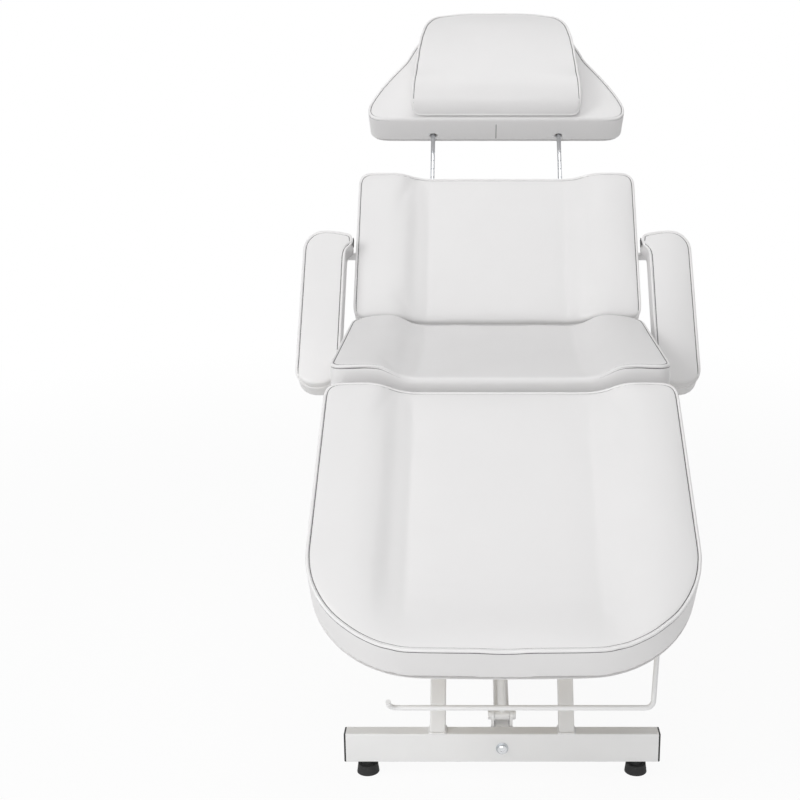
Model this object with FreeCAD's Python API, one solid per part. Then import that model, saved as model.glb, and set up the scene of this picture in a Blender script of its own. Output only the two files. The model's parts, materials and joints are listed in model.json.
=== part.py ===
import FreeCAD
import Part
import math
import os

# Reclining treatment bed: three upholstered sections on a welded tube base.
# Millimetres. X is to the sitter's left, Y runs from foot to head, Z is up, and the floor is Z = 0.
# Left and right are as seen from the foot, so right is +X.
# Every section is modelled lying flat, then turned about its own hinge to the seated position.

# Seated position, in degrees from flat
BACK_ANGLE = 51.5
LEG_ANGLE = 33.0

# Driving sizes of the bed
BED_WIDTH = 600.0
SEAT_TOP = 606.0
SEAT_LENGTH = 424.0
BACK_LENGTH = 357.0
LEG_LENGTH = 525.0
CUSHION_DEPTH = 82.0
BOARD_THICKNESS = 10.0
BOARD_INSET = 12.0
RAIL = 25.0
RAIL_WALL = 1.5
TUBE_CORNER = 2.5
RAIL_INSET = 100.0
RUNNING_GAP = 0.1
SOFT_GAP = 0.4
OVERRUN = 5.0

# Contour of the sewn tops: two side bolsters with a shallow lane between them
BOLSTER_WIDTH = 155.0
CREST_INSET = 71.0
LANE_DEPTH = 24.0
RIM_DROP = 4.0
RIM_FILLET = 10.0
SIDE_SHARE = 0.2
CORNER_RADIUS = 26.0
CONTOUR_POINTS = 7
CONTOUR_LANE_SHARES = (0.0, 0.4, 0.8, 1.0)

# Leg section: straight sides that end in two big rounds, and a lane that fades out at the foot
LEG_FLARE = 1.0
FOOT_RADIUS = 180.0
FOOT_BOW = 5.0
FOOT_BOW_SHARE = 0.95
FOOT_TIP = 2.0
LEG_GAP = 6.0
FOOT_FADE_SHARES = (0.14, 0.6, 0.95, 1.0, 1.0, 1.0, 1.0, 1.0)

# Hinges
PLATE = 5.0
PLATE_RADIUS = 12.0
BOLT_RADIUS = 4.0
BOLT_HEAD_RADIUS = 7.5
BOLT_HEAD = 5.0
CROWN_SHARE = 0.75
NUT_SIDES = 6
BACK_PIVOT_SETBACK = 20.0
BACK_PIVOT_DROP = 30.0
BACK_EDGE_GAP = 14.0
BACK_HINGE_INSET = 85.0
LEG_HINGE_INSET = 135.0
SEAT_FRAME_INSET = 12.0
HINGE_REACH = 17.0
HINGE_RAIL_OVERHANG = 10.0
FOOT_RAIL_INSET = 148.0
BACK_RAIL_INSET = 20.0

# Floor base
BAR_LENGTH = 500.0
BAR_HEIGHT = 50.0
BAR_DEPTH = 25.0
BASE_OVERHANG = 317.0
FOOT_HEIGHT = 22.0
FOOT_PAD_RADIUS = 18.0
FOOT_PAD_TOP_RADIUS = 16.0
FOOT_PAD_HEIGHT = 15.0
FOOT_NECK_RADIUS = 10.0
FOOT_STEM_RADIUS = 4.0
FOOT_STEM = 12.0
FOOT_INSET = 34.0
CAP_FLANGE = 3.0
CAP_PLUG = 18.0
CAP_CLEARANCE = 0.2
LEG_SPREAD = 103.0
LEG_WIDTH = 25.0
INSERT_LENGTH = 24.0
POST_TOP_DROP = 16.0

# Struts that hold the leg section and the back
STRUT_ROD_RADIUS = 7.0
STRUT_SLEEVE_RADIUS = 10.0
STRUT_EYE_WIDTH = 24.0
STRUT_EYE_GAP = 0.5
STRUT_EYE_WALL = 3.5
LUG_RADIUS = 10.0
ANCHOR_REACH = 36.0
LEG_STRUT_FOOT = (12.0, 14.0)
LEG_PIN_REACH = 110.0
LEG_PIN_DROP = 8.0
LEG_STRUT_ROD = 300.0
LEG_STRUT_SLEEVE = 200.0
LEG_PIN_RAIL_GAP = 22.0
BACK_STRUT_FOOT = (40.0, 300.0)
BACK_PIN_REACH = 280.0
BACK_PIN_DROP = 90.0
BACK_STRUT_ROD = 290.0
BACK_STRUT_SLEEVE = 240.0
SLOT_MARGIN = 0.6
SLOT_STEPS = 24
BACK_PIN_RAIL_GAP = 17.0

# Headrest on two notched rods
HEAD_GAP = 135.0
HEAD_LENGTH = 266.0
HEAD_WIDTH = 574.0
HEAD_TOP_WIDTH = 284.0
HEAD_SHOULDER = 28.0
HEAD_LOW_RADIUS = 14.0
HEAD_SHOULDER_RADIUS = 46.0
HEAD_TOP_RADIUS = 60.0
ROD_OFFSET = 142.0
ROD_RADIUS = 5.0
ROD_IN_BACK = 150.0
ROD_IN_HEAD = 130.0
ROD_NOTCH_SPACING = 22.0
ROD_NOTCH_COUNT = 6
ROD_NOTCH_DEPTH = 1.2
ROD_NOTCH_WIDTH = 4.0
SOCKET_RADIUS = 7.0
SOCKET_LENGTH = 328.0
SOCKET_TOP_GAP = 2.0
SADDLE_WIDTH = 26.0
SADDLE_LENGTH = 20.0

# Head pillow
PILLOW_WIDTH = 382.0
PILLOW_TOP_WIDTH = 324.0
PILLOW_LENGTH = 284.0
PILLOW_INSET = 8.0
PILLOW_HEIGHT = 52.0
PILLOW_LOW_RADIUS = 18.0
PILLOW_TOP_RADIUS = 60.0
PILLOW_SEAM = 2.0
PILLOW_SPILL = 1.5
PILLOW_ROLL_SHARES = ((0.07, 0.78), (0.3, 1.0), (0.66, 0.9), (0.94, 0.52), (0.985, 0.32))

# Armrests, parallel to the back and carried on its sides
ARM_GAP = 15.0
ARM_WIDTH = 90.0
ARM_LOW = -170.0
ARM_HIGH = 186.0
ARM_HOOK_LOW = 150.0
ARM_RISE = 30.0
ARM_CROWN = 8.0
ARM_DEPTH = 55.0
ARM_HOOK_GAP = 2.5
ARM_LOW_ROUND_SHARE = 0.44
ARM_HIGH_ROUND_SHARE = 0.48
ARM_HOOK_RADIUS = 11.0
ARM_INNER_RADIUS = 14.0
ARM_FILLET = 7.0
TENON_PLACE = 165.0
TENON_RADIUS = 8.0
TENON_IN_SOCKET = 55.0
TENON_WALL = 2.0
ARM_PLATE_LENGTH = 110.0
ARM_PLATE_WIDTH = 40.0
ARM_SOCKET_WALL = 2.0
ARM_SOCKET_LENGTH = 62.0
ARM_SOCKET_WEB = 12.0
ARM_SOCKET_FOOT = 40.0
ARM_SOCKET_SOLE = 3.0

# Paper roll holder under the foot of the leg section
HOLDER_RADIUS = 4.0
HOLDER_BEND = 12.0
HOLDER_SIDE_INSET = 64.0
HOLDER_SPINDLE_INSET = 12.0
HOLDER_TIP = 172.0
HOLDER_TIP_RISE = 18.0
HOLDER_ROOT_INSET = 90.0
HOLDER_OVERHANG = 4.0
HOLDER_DROP = 74.0
HOLDER_NECK = 20.0
HOLDER_PLATE = 36.0
HOLDER_PLATE_THICKNESS = 3.0

# Levels and places that follow from the sizes above
BOARD_UNDER = SEAT_TOP - CUSHION_DEPTH
BOARD_TOP = BOARD_UNDER + BOARD_THICKNESS
RAIL_LOW = BOARD_UNDER - RAIL
RAIL_MID = BOARD_UNDER - RAIL / 2
HALF_BED = BED_WIDTH / 2
LANE_HALF = HALF_BED - BOLSTER_WIDTH
CREST_OFFSET = HALF_BED - CREST_INSET
RAIL_OFFSET = HALF_BED - RAIL_INSET
BACK_HINGE_OFFSET = HALF_BED - BACK_HINGE_INSET
LEG_HINGE_OFFSET = HALF_BED - LEG_HINGE_INSET
HINGE_RAIL_HALF = BACK_HINGE_OFFSET + HINGE_RAIL_OVERHANG
ARM_INNER = HALF_BED + ARM_GAP
ARM_OUTER = ARM_INNER + ARM_WIDTH
ARM_LOW_RADIUS = ARM_WIDTH * ARM_LOW_ROUND_SHARE
ARM_HIGH_RADIUS = ARM_WIDTH * ARM_HIGH_ROUND_SHARE
HOLDER_SIDE = HALF_BED - HOLDER_SIDE_INSET
SEAT_FRONT = -SEAT_LENGTH
SEAT_RAIL_FRONT = SEAT_FRONT + SEAT_FRAME_INSET
LEG_PIVOT_Y = SEAT_RAIL_FRONT - HINGE_REACH
LEG_PIVOT_Z = RAIL_MID
LEG_START = SEAT_FRONT - LEG_GAP
LEG_FRAME_START = LEG_PIVOT_Y - HINGE_REACH
LEG_END = LEG_START - LEG_LENGTH
HOLDER_ROOT = LEG_END + HOLDER_ROOT_INSET
HOLDER_REACH = LEG_END - HOLDER_OVERHANG
BACK_PIVOT_Y = BACK_PIVOT_SETBACK
BACK_PIVOT_Z = SEAT_TOP - BACK_PIVOT_DROP
BACK_START = BACK_PIVOT_Y + BACK_EDGE_GAP
BACK_END = BACK_START + BACK_LENGTH
BACK_FRAME_START = BACK_START + HINGE_REACH
HEAD_START = BACK_END + HEAD_GAP
ROD_LEVEL = BOARD_TOP + SOCKET_RADIUS
BAR_TOP = FOOT_HEIGHT + BAR_HEIGHT
FRONT_BAR = SEAT_FRONT - BASE_OVERHANG
REAR_BAR = BASE_OVERHANG
LEG_PIN = (LEG_PIVOT_Y - LEG_PIN_REACH, LEG_PIVOT_Z - LEG_PIN_DROP)
BACK_PIN = (BACK_PIVOT_Y + BACK_PIN_REACH, BACK_PIVOT_Z - BACK_PIN_DROP)
LEG_FOOT_PIN = (FRONT_BAR + BAR_DEPTH + LEG_STRUT_FOOT[0], BAR_TOP + LEG_STRUT_FOOT[1])
BACK_FOOT_PIN = BACK_STRUT_FOOT
LUG_INNER = STRUT_EYE_WIDTH / 2 + STRUT_EYE_GAP
ARM_TOP = SEAT_TOP + ARM_RISE
ARM_UNDER = ARM_TOP - ARM_DEPTH
TENON_LEVEL = ARM_UNDER - PLATE - TENON_RADIUS
TENON_Y = BACK_START + TENON_PLACE

X_AXIS = FreeCAD.Vector(1, 0, 0)
Y_AXIS = FreeCAD.Vector(0, 1, 0)
Z_AXIS = FreeCAD.Vector(0, 0, 1)


def block(x_span, y_span, z_span):
    """Box between two values on each axis."""
    corner = FreeCAD.Vector(x_span[0], y_span[0], z_span[0])
    return Part.makeBox(x_span[1] - x_span[0], y_span[1] - y_span[0], z_span[1] - z_span[0], corner)


def rod(radius, start, end):
    """Round bar between two points."""
    along = end - start
    return Part.makeCylinder(radius, along.Length, start, along)


def arc_about(centre, start, end):
    """Arc of under a half circle round a centre, from one point to another."""
    middle = (start - centre) + (end - centre)
    middle.multiply((start - centre).Length / middle.Length)
    return Part.Arc(start, centre + middle, end).toShape()


def level_arc(level, end):
    """Arc in the XZ plane that is level at its first point and passes through its second."""
    step = end - level
    radius = (step.x ** 2 + step.z ** 2) / (2 * step.z)
    return arc_about(level + FreeCAD.Vector(0, 0, radius), level, end)


def rounded_outline(corners, radii):
    """Closed wire through the corners, each rounded to its radius."""
    count = len(corners)
    pieces = []
    for index, corner in enumerate(corners):
        back = (corners[index - 1] - corner).normalize()
        ahead = (corners[(index + 1) % count] - corner).normalize()
        half_turn = back.getAngle(ahead) / 2
        run = radii[index] / math.tan(half_turn)
        bisector = (back + ahead).normalize()
        centre = corner + bisector * (radii[index] / math.sin(half_turn))
        pieces.append((corner + back * run, centre, corner + ahead * run))
    edges = []
    for index, (start, centre, end) in enumerate(pieces):
        edges.append(arc_about(centre, start, end))
        edges.append(Part.makeLine(end, pieces[(index + 1) % count][0]))
    return Part.Wire(edges)


def flat_outline(points, radii):
    """Rounded outline in the XY plane from pairs of x and y."""
    return rounded_outline([FreeCAD.Vector(x, y, 0) for x, y in points], radii)


def side_outline(points, radii, x):
    """Rounded outline in the plane at one x, from pairs of y and z."""
    return rounded_outline([FreeCAD.Vector(x, y, z) for y, z in points], radii)


def prism(outline, low, high):
    """Solid above a flat outline, between two levels."""
    wire = outline.copy()
    wire.translate(Z_AXIS * low)
    return Part.Face(wire).extrude(Z_AXIS * (high - low))


def plate(points, radii, x, thickness):
    """Upright plate of one thickness, from its outline of y and z."""
    return Part.Face(side_outline(points, radii, x)).extrude(X_AXIS * thickness)


def mirrored(shape):
    """The same piece on the other side of the bed."""
    return shape.mirror(FreeCAD.Vector(0, 0, 0), X_AXIS)


def pair(shape):
    """A piece and its mirror image, as two solids."""
    return Part.makeCompound([shape, mirrored(shape)])


def solid_of(shape):
    """The one solid that a boolean left."""
    return shape.Solids[0]


def raised_back(shape):
    """Turn a piece of the flat back up to the seated position."""
    turned = shape.copy()
    turned.rotate(FreeCAD.Vector(0, BACK_PIVOT_Y, BACK_PIVOT_Z), X_AXIS, BACK_ANGLE)
    return turned


def dropped_leg(shape):
    """Turn a piece of the flat leg section down to the seated position."""
    turned = shape.copy()
    turned.rotate(FreeCAD.Vector(0, LEG_PIVOT_Y, LEG_PIVOT_Z), X_AXIS, LEG_ANGLE)
    return turned


def contour_wire(half_width, y, lane_depth):
    """Cross-section of a bolstered cushion at one y, with its lane, from board level to crest."""
    def point(x, z):
        return FreeCAD.Vector(x, y, SEAT_TOP + z)
    low, middle = -lane_depth, -lane_depth / 2
    between = (LANE_HALF + CREST_OFFSET) / 2
    half = [level_arc(point(CREST_OFFSET, 0), point(half_width, -RIM_DROP)),
            level_arc(point(CREST_OFFSET, 0), point(between, middle)),
            level_arc(point(LANE_HALF, low), point(between, middle))]
    spots = [spot for edge in half for spot in edge.discretize(CONTOUR_POINTS)]
    spots = [spot for spot in spots if spot.distanceToPoint(point(LANE_HALF, low)) > OVERRUN]
    spots += [point(LANE_HALF * share, low) for share in CONTOUR_LANE_SHARES]
    spots += [FreeCAD.Vector(-spot.x, spot.y, spot.z) for spot in spots if spot.x > 0]
    spots.sort(key=lambda spot: spot.x)
    spots = [spots[0]] + [spot for last, spot in zip(spots, spots[1:]) if spot.x - last.x > RUNNING_GAP]
    curve = Part.BSplineCurve()
    curve.interpolate(spots)
    corners = [spots[0], point(-half_width, -CUSHION_DEPTH), point(half_width, -CUSHION_DEPTH), spots[-1]]
    edges = [Part.makeLine(corners[index], corners[index + 1]) for index in range(len(corners) - 1)]
    return Part.Wire([curve.toShape()] + edges[::-1])


def soften_rim(solid, radius, level):
    """Round the sewn rim: every edge that an upright side makes with the top."""
    rim = []
    for edge in solid.Edges:
        faces = solid.ancestorsOfType(edge, Part.Face)
        middle = edge.CenterOfMass
        upright = [abs(face.normalAt(*face.Surface.parameter(middle)).z) < SIDE_SHARE for face in faces]
        if edge.BoundBox.ZMin > level and upright.count(True) == 1:
            rim.append(edge)
    return solid.makeFillet(radius, rim)


def contoured_cushion(outline, lanes):
    """Bolstered cushion: the long lanes cut to a flat outline, with their rim softened."""
    body = solid_of(lanes.common(prism(outline, BOARD_UNDER, SEAT_TOP + OVERRUN)))
    return soften_rim(body, RIM_FILLET, BOARD_TOP)


def even_lanes(start, end):
    """Lanes of the seat or the back: one depth all along."""
    face = Part.Face(contour_wire(HALF_BED + OVERRUN, start - OVERRUN, LANE_DEPTH))
    return face.extrude(Y_AXIS * (end - start + 2 * OVERRUN))


def fading_lanes(half_width):
    """Lanes of the leg section: they fade out into a level foot."""
    foot, top = LEG_END - FOOT_TIP - OVERRUN, LEG_START + OVERRUN
    step = (top - foot) / (len(FOOT_FADE_SHARES) - 1)
    wires = [contour_wire(half_width + OVERRUN, foot + index * step, share * LANE_DEPTH)
             for index, share in enumerate(FOOT_FADE_SHARES)]
    return Part.makeLoft(wires, True, False)


def with_board(cushion, outline):
    """Seat a plywood board in a cushion's underside: the pocketed cushion and the board."""
    inner = outline.makeOffset2D(-BOARD_INSET)
    pocketed = solid_of(cushion.cut(prism(inner, BOARD_UNDER - OVERRUN, BOARD_TOP)))
    return pocketed, prism(inner, BOARD_UNDER, BOARD_TOP)


def section_points(half_width, start, end):
    """Corners of a rectangular section."""
    return [(-half_width, start), (half_width, start), (half_width, end), (-half_width, end)]


def plain_section(start, end):
    """Seat or back: its cushion and its board."""
    outline = flat_outline(section_points(HALF_BED, start, end), [CORNER_RADIUS] * 4)
    return with_board(contoured_cushion(outline, even_lanes(start, end)), outline)


def leg_outline():
    """Outline of the leg section: flared sides, round corners and a bowed foot."""
    half, foot_half = HALF_BED, HALF_BED + LEG_FLARE
    shoulder = LEG_END + FOOT_BOW
    points = [(half, LEG_START), (-half, LEG_START), (-foot_half, shoulder), (0, LEG_END - FOOT_TIP),
              (foot_half, shoulder)]
    slope = (FOOT_BOW + FOOT_TIP) / foot_half
    bow_radius = (foot_half - FOOT_RADIUS) * FOOT_BOW_SHARE / slope
    radii = [CORNER_RADIUS] * 2 + [FOOT_RADIUS, bow_radius, FOOT_RADIUS]
    return flat_outline(points, radii)


def leg_section():
    """Leg section: its cushion and its board, lying flat."""
    outline = leg_outline()
    return with_board(contoured_cushion(outline, fading_lanes(HALF_BED + LEG_FLARE)), outline)


def round_bar(spans, along, radius):
    """Box with its four edges along one axis rounded."""
    body = block(*spans)
    direction = (X_AXIS, Y_AXIS, Z_AXIS)[along]
    edges = [edge for edge in body.Edges if not edge.tangentAt(edge.FirstParameter).cross(direction).Length]
    return body.makeFillet(radius, edges)


def tube(x_span, y_span, z_span, along):
    """Square or flat tube with rounded corners, open at both ends, along one axis."""
    spans = [x_span, y_span, z_span]
    inner = [(span[0] - OVERRUN, span[1] + OVERRUN) if axis == along
             else (span[0] + RAIL_WALL, span[1] - RAIL_WALL) for axis, span in enumerate(spans)]
    core = round_bar(inner, along, TUBE_CORNER - RAIL_WALL)
    return solid_of(round_bar(spans, along, TUBE_CORNER).cut(core))


def cross_rail(start, half_length):
    """Rail of a frame across the bed."""
    return tube((-half_length, half_length), (start, start + RAIL), (RAIL_LOW, BOARD_UNDER), 0)


def side_rails(start, end):
    """Left and right rails of a frame, along the bed."""
    half = RAIL / 2
    x_span = (RAIL_OFFSET - half, RAIL_OFFSET + half)
    return pair(tube(x_span, (start, end), (RAIL_LOW, BOARD_UNDER), 1)).Solids


def domed_head(face, outward):
    """Round bolt head with a domed rim, standing on a face."""
    head = Part.makeCylinder(BOLT_HEAD_RADIUS, BOLT_HEAD, face, outward)
    crown = [edge for edge in head.Edges if (edge.CenterOfMass - face).dot(outward) > BOLT_HEAD * CROWN_SHARE]
    return head.makeFillet(BOLT_HEAD / 2, crown)


def bolt(x_span, y, z):
    """Cross bolt with a domed head and a hexagon nut outside the two faces that it clamps."""
    def at(x):
        return FreeCAD.Vector(x, y, z)
    corners = []
    for index in range(NUT_SIDES + 1):
        turn = 2 * math.pi * index / NUT_SIDES
        spoke = Y_AXIS * math.cos(turn) + Z_AXIS * math.sin(turn)
        corners.append(at(x_span[0] - BOLT_HEAD) + spoke * BOLT_HEAD_RADIUS)
    nut = Part.Face(Part.makePolygon(corners)).extrude(X_AXIS * BOLT_HEAD)
    shank = rod(BOLT_RADIUS, at(x_span[0]), at(x_span[1]))
    return solid_of(shank.multiFuse([nut, domed_head(at(x_span[1]), X_AXIS)]))


def eye_plate(points, radii, x, pin):
    """Plate with a running hole for its pin."""
    blank = plate(points, radii, x, PLATE)
    hole = rod(BOLT_RADIUS + RUNNING_GAP, FreeCAD.Vector(x - OVERRUN, *pin),
               FreeCAD.Vector(x + PLATE + OVERRUN, *pin))
    return solid_of(blank.cut(hole))


def leg_hinges():
    """Leg hinge on each side: seat bracket, leg tab and bolt, lying flat."""
    pin = (LEG_PIVOT_Y, LEG_PIVOT_Z)
    low, high = LEG_PIVOT_Z - PLATE_RADIUS, LEG_PIVOT_Z + PLATE_RADIUS
    end_round = PLATE_RADIUS - RUNNING_GAP
    square = RUNNING_GAP
    radii = [square, end_round, end_round, square]
    seat_points = [(SEAT_RAIL_FRONT, low), (LEG_PIVOT_Y - PLATE_RADIUS, low),
                   (LEG_PIVOT_Y - PLATE_RADIUS, high), (SEAT_RAIL_FRONT, high)]
    leg_points = [(LEG_FRAME_START, low), (LEG_PIVOT_Y + PLATE_RADIUS, low),
                  (LEG_PIVOT_Y + PLATE_RADIUS, high), (LEG_FRAME_START, high)]
    leg_x = LEG_HINGE_OFFSET + PLATE + STRUT_EYE_GAP
    bracket = eye_plate(seat_points, radii, LEG_HINGE_OFFSET, pin)
    tab = eye_plate(leg_points, radii, leg_x, pin)
    fixing = bolt((LEG_HINGE_OFFSET, leg_x + PLATE + RUNNING_GAP), *pin)
    return pair(bracket), pair(tab), pair(fixing)


def back_hinges():
    """Back hinge on each side: seat bracket, back tab and bolt, lying flat."""
    pin = (BACK_PIVOT_Y, BACK_PIVOT_Z)
    front, rear = BACK_PIVOT_Y - PLATE_RADIUS, BACK_PIVOT_Y + PLATE_RADIUS
    top = BACK_PIVOT_Z + PLATE_RADIUS
    seat_rail = -SEAT_FRAME_INSET
    foot_top = BOARD_UNDER - RAIL_WALL
    end_round = PLATE_RADIUS - RUNNING_GAP
    square = RUNNING_GAP
    inner = RAIL_WALL
    seat_points = [(seat_rail, RAIL_LOW), (rear, RAIL_LOW), (rear, top), (front, top),
                   (front, foot_top), (seat_rail, foot_top)]
    seat_radii = [square, PLATE, end_round, end_round, inner, square]
    back_points = [(BACK_FRAME_START, foot_top), (rear, foot_top), (rear, top), (front, top),
                   (front, RAIL_LOW), (BACK_FRAME_START, RAIL_LOW)]
    back_radii = [square, inner, end_round, end_round, PLATE, square]
    back_x = BACK_HINGE_OFFSET - PLATE - STRUT_EYE_GAP
    bracket = eye_plate(seat_points, seat_radii, BACK_HINGE_OFFSET, pin)
    tab = eye_plate(back_points, back_radii, back_x, pin)
    fixing = bolt((back_x - RUNNING_GAP, BACK_HINGE_OFFSET + PLATE), *pin)
    return pair(bracket), pair(tab), pair(fixing)


def floor_bar(y_span):
    """Floor bar of flat tube, open at both ends, with holes for its feet and its centre bolt."""
    half = BAR_LENGTH / 2
    bar = tube((-half, half), y_span, (FOOT_HEIGHT, BAR_TOP), 0)
    middle = (y_span[0] + y_span[1]) / 2
    level = FOOT_HEIGHT + BAR_HEIGHT / 2
    holes = [rod(BOLT_RADIUS + RUNNING_GAP, FreeCAD.Vector(0, y_span[0] - OVERRUN, level),
                 FreeCAD.Vector(0, y_span[1] + OVERRUN, level))]
    for x in (FOOT_INSET - half, half - FOOT_INSET):
        holes.append(rod(FOOT_STEM_RADIUS + RUNNING_GAP, FreeCAD.Vector(x, middle, FOOT_HEIGHT - OVERRUN),
                         FreeCAD.Vector(x, middle, FOOT_HEIGHT + OVERRUN)))
    return solid_of(bar.cut(holes[0].multiFuse(holes[1:])))


def end_cap(y_span):
    """Plug cap for the right-hand end of a floor bar."""
    half = BAR_LENGTH / 2
    flange = round_bar([(half, half + CAP_FLANGE), y_span, (FOOT_HEIGHT, BAR_TOP)], 0, TUBE_CORNER)
    face_edges = [edge for edge in flange.Edges if edge.BoundBox.XMin > half + CAP_FLANGE / 2]
    flange = flange.makeFillet(CAP_FLANGE / 2, face_edges)
    wall = RAIL_WALL + CAP_CLEARANCE
    plug = round_bar([(half - CAP_PLUG, half), (y_span[0] + wall, y_span[1] - wall),
                      (FOOT_HEIGHT + wall, BAR_TOP - wall)], 0, TUBE_CORNER - RAIL_WALL)
    return solid_of(flange.fuse(plug))


def rubber_foot(x, y):
    """Screw-in foot: a tapered rubber pad, a neck and the stem that enters the bar."""
    profile = [(0, 0), (FOOT_PAD_RADIUS, 0), (FOOT_PAD_TOP_RADIUS, FOOT_PAD_HEIGHT),
               (FOOT_NECK_RADIUS, FOOT_PAD_HEIGHT), (FOOT_NECK_RADIUS, FOOT_HEIGHT),
               (FOOT_STEM_RADIUS, FOOT_HEIGHT), (FOOT_STEM_RADIUS, FOOT_HEIGHT + FOOT_STEM),
               (0, FOOT_HEIGHT + FOOT_STEM), (0, 0)]
    wire = Part.makePolygon([FreeCAD.Vector(x + radius, y, z) for radius, z in profile])
    return Part.Face(wire).revolve(FreeCAD.Vector(x, y, 0), Z_AXIS, 360)


def sloping_leg(bottom_y, top_y):
    """Leg of square tube from a floor bar up to the seat frame, cut level at both ends."""
    def body(wall, lengthen):
        half = BAR_DEPTH / 2 - wall
        slope = (top_y - bottom_y) / (RAIL_LOW - BAR_TOP)
        shift = lengthen * slope
        low, high = BAR_TOP - lengthen, RAIL_LOW + lengthen
        points = [(bottom_y - half - shift, low), (bottom_y + half - shift, low),
                  (top_y + half + shift, high), (top_y - half + shift, high)]
        x = LEG_SPREAD - LEG_WIDTH / 2 + wall
        wire = Part.makePolygon([FreeCAD.Vector(x, y, z) for y, z in points + points[:1]])
        bar = Part.Face(wire).extrude(X_AXIS * (LEG_WIDTH - 2 * wall))
        long_edges = [edge for edge in bar.Edges if edge.BoundBox.ZLength > BAR_TOP]
        return bar.makeFillet(TUBE_CORNER - wall, long_edges)
    return solid_of(body(0, 0).cut(body(RAIL_WALL, OVERRUN)))


def stretcher_insert(y_span):
    """Threaded block in one end of the stretcher, which the bar's bolt screws into."""
    wall = RAIL_WALL + RUNNING_GAP
    half = BAR_DEPTH / 2 - wall
    level = FOOT_HEIGHT + BAR_HEIGHT / 2
    spans = [(-half, half), y_span, (FOOT_HEIGHT + wall, BAR_TOP - wall)]
    body = round_bar(spans, 1, TUBE_CORNER - RAIL_WALL)
    hole = rod(BOLT_RADIUS + RUNNING_GAP, FreeCAD.Vector(0, y_span[0] - OVERRUN, level),
               FreeCAD.Vector(0, y_span[1] + OVERRUN, level))
    return solid_of(body.cut(hole))


def bar_bolt(outer_face, direction):
    """Domed bolt through a floor bar into the stretcher."""
    level = FOOT_HEIGHT + BAR_HEIGHT / 2
    inward = Y_AXIS * direction
    face = FreeCAD.Vector(0, outer_face, level)
    shank = rod(BOLT_RADIUS, face, face + inward * (BAR_DEPTH + INSERT_LENGTH))
    return solid_of(shank.fuse(domed_head(face, inward * -1)))


def lug_pair(points, radii, pin):
    """Two lug plates, one each side of a strut's eye."""
    return pair(eye_plate(points, radii, LUG_INNER, pin))


def strut_pin(pin):
    """Headed pin through a pair of lugs."""
    outer = LUG_INNER + PLATE
    return bolt((-outer, outer), *pin)


def slot_window(foot_pin, pin, pivot, angle):
    """Room that a strut's top eye needs, because its steady slide only nears the pin's arc.

    Gives the side play, the half length of the slot and its middle in the strut's own Y and Z.
    """
    def reach(share):
        y, z = seated(pin, pivot, angle * (1 - share))
        return math.hypot(y - foot_pin[0], z - foot_pin[1]), math.atan2(z - foot_pin[1], y - foot_pin[0])
    (first, low), (last, high) = reach(0), reach(1)
    strays = []
    for step in range(SLOT_STEPS + 1):
        share = step / SLOT_STEPS
        length, slope = reach(share)
        lag = slope - low - (high - low) * share
        strays.append((-length * math.sin(lag), length * math.cos(lag) - first - (last - first) * share))
    sides, ends = zip(*strays)
    middle = [(min(values) + max(values)) / 2 for values in (sides, ends)]
    spare = (max(ends) - min(ends)) - (max(sides) - min(sides))
    half = max(spare / 2, RUNNING_GAP)
    side_play = max(math.hypot(y - middle[0], max(abs(z - middle[1]) - half, 0)) for y, z in strays)
    return side_play + SLOT_MARGIN, half, middle


def strut_eye(side_play, half, middle):
    """Eye across a strut that runs along Z: its blank, its slot and its lower end."""
    half_width = BOLT_RADIUS + RUNNING_GAP + side_play

    def stadium(radius, depth):
        ends = [FreeCAD.Vector(-depth / 2, middle[0], middle[1] + run) for run in (-half, half)]
        drums = [rod(radius, end, end + X_AXIS * depth) for end in ends]
        web = block((-depth / 2, depth / 2), (middle[0] - radius, middle[0] + radius), (ends[0].z, ends[1].z))
        return web.multiFuse(drums).removeSplitter()
    outer = half_width + STRUT_EYE_WALL
    low = middle[1] - half - outer
    return stadium(outer, STRUT_EYE_WIDTH), stadium(half_width, STRUT_EYE_WIDTH + OVERRUN), low


def strut_rod_solid(length):
    """Lower half of a strut along +Z: an eye at the origin and a plain round rod."""
    blank, slot, _ = strut_eye(0, RUNNING_GAP, (0, 0))
    bar = rod(STRUT_ROD_RADIUS, FreeCAD.Vector(0, 0, 0), FreeCAD.Vector(0, 0, length))
    return solid_of(blank.fuse(bar).cut(slot).removeSplitter())


def strut_sleeve_solid(length, window):
    """Upper half of a strut along -Z: a slotted eye at the origin and the sleeve that the rod slides in."""
    blank, slot, low = strut_eye(*window)
    foot = FreeCAD.Vector(0, 0, -length)
    sleeve = rod(STRUT_SLEEVE_RADIUS, foot, FreeCAD.Vector(0, 0, low + STRUT_EYE_WALL / 2))
    bore = rod(STRUT_ROD_RADIUS + RUNNING_GAP, foot - Z_AXIS * OVERRUN, FreeCAD.Vector(0, 0, low))
    return solid_of(blank.fuse(sleeve).cut(slot).cut(bore).removeSplitter())


def along_strut(shape, place, direction):
    """Put a strut half at a point, with its +Z along the strut."""
    turned = shape.copy()
    turned.Placement = FreeCAD.Placement(FreeCAD.Vector(0, *place), FreeCAD.Rotation(Z_AXIS, direction))
    return turned


def seated(pin, pivot, angle):
    """Where a pin of a flat section is in the seated position."""
    turn = math.radians(angle)
    y, z = pin[0] - pivot[0], pin[1] - pivot[1]
    return (pivot[0] + y * math.cos(turn) - z * math.sin(turn),
            pivot[1] + y * math.sin(turn) + z * math.cos(turn))


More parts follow.
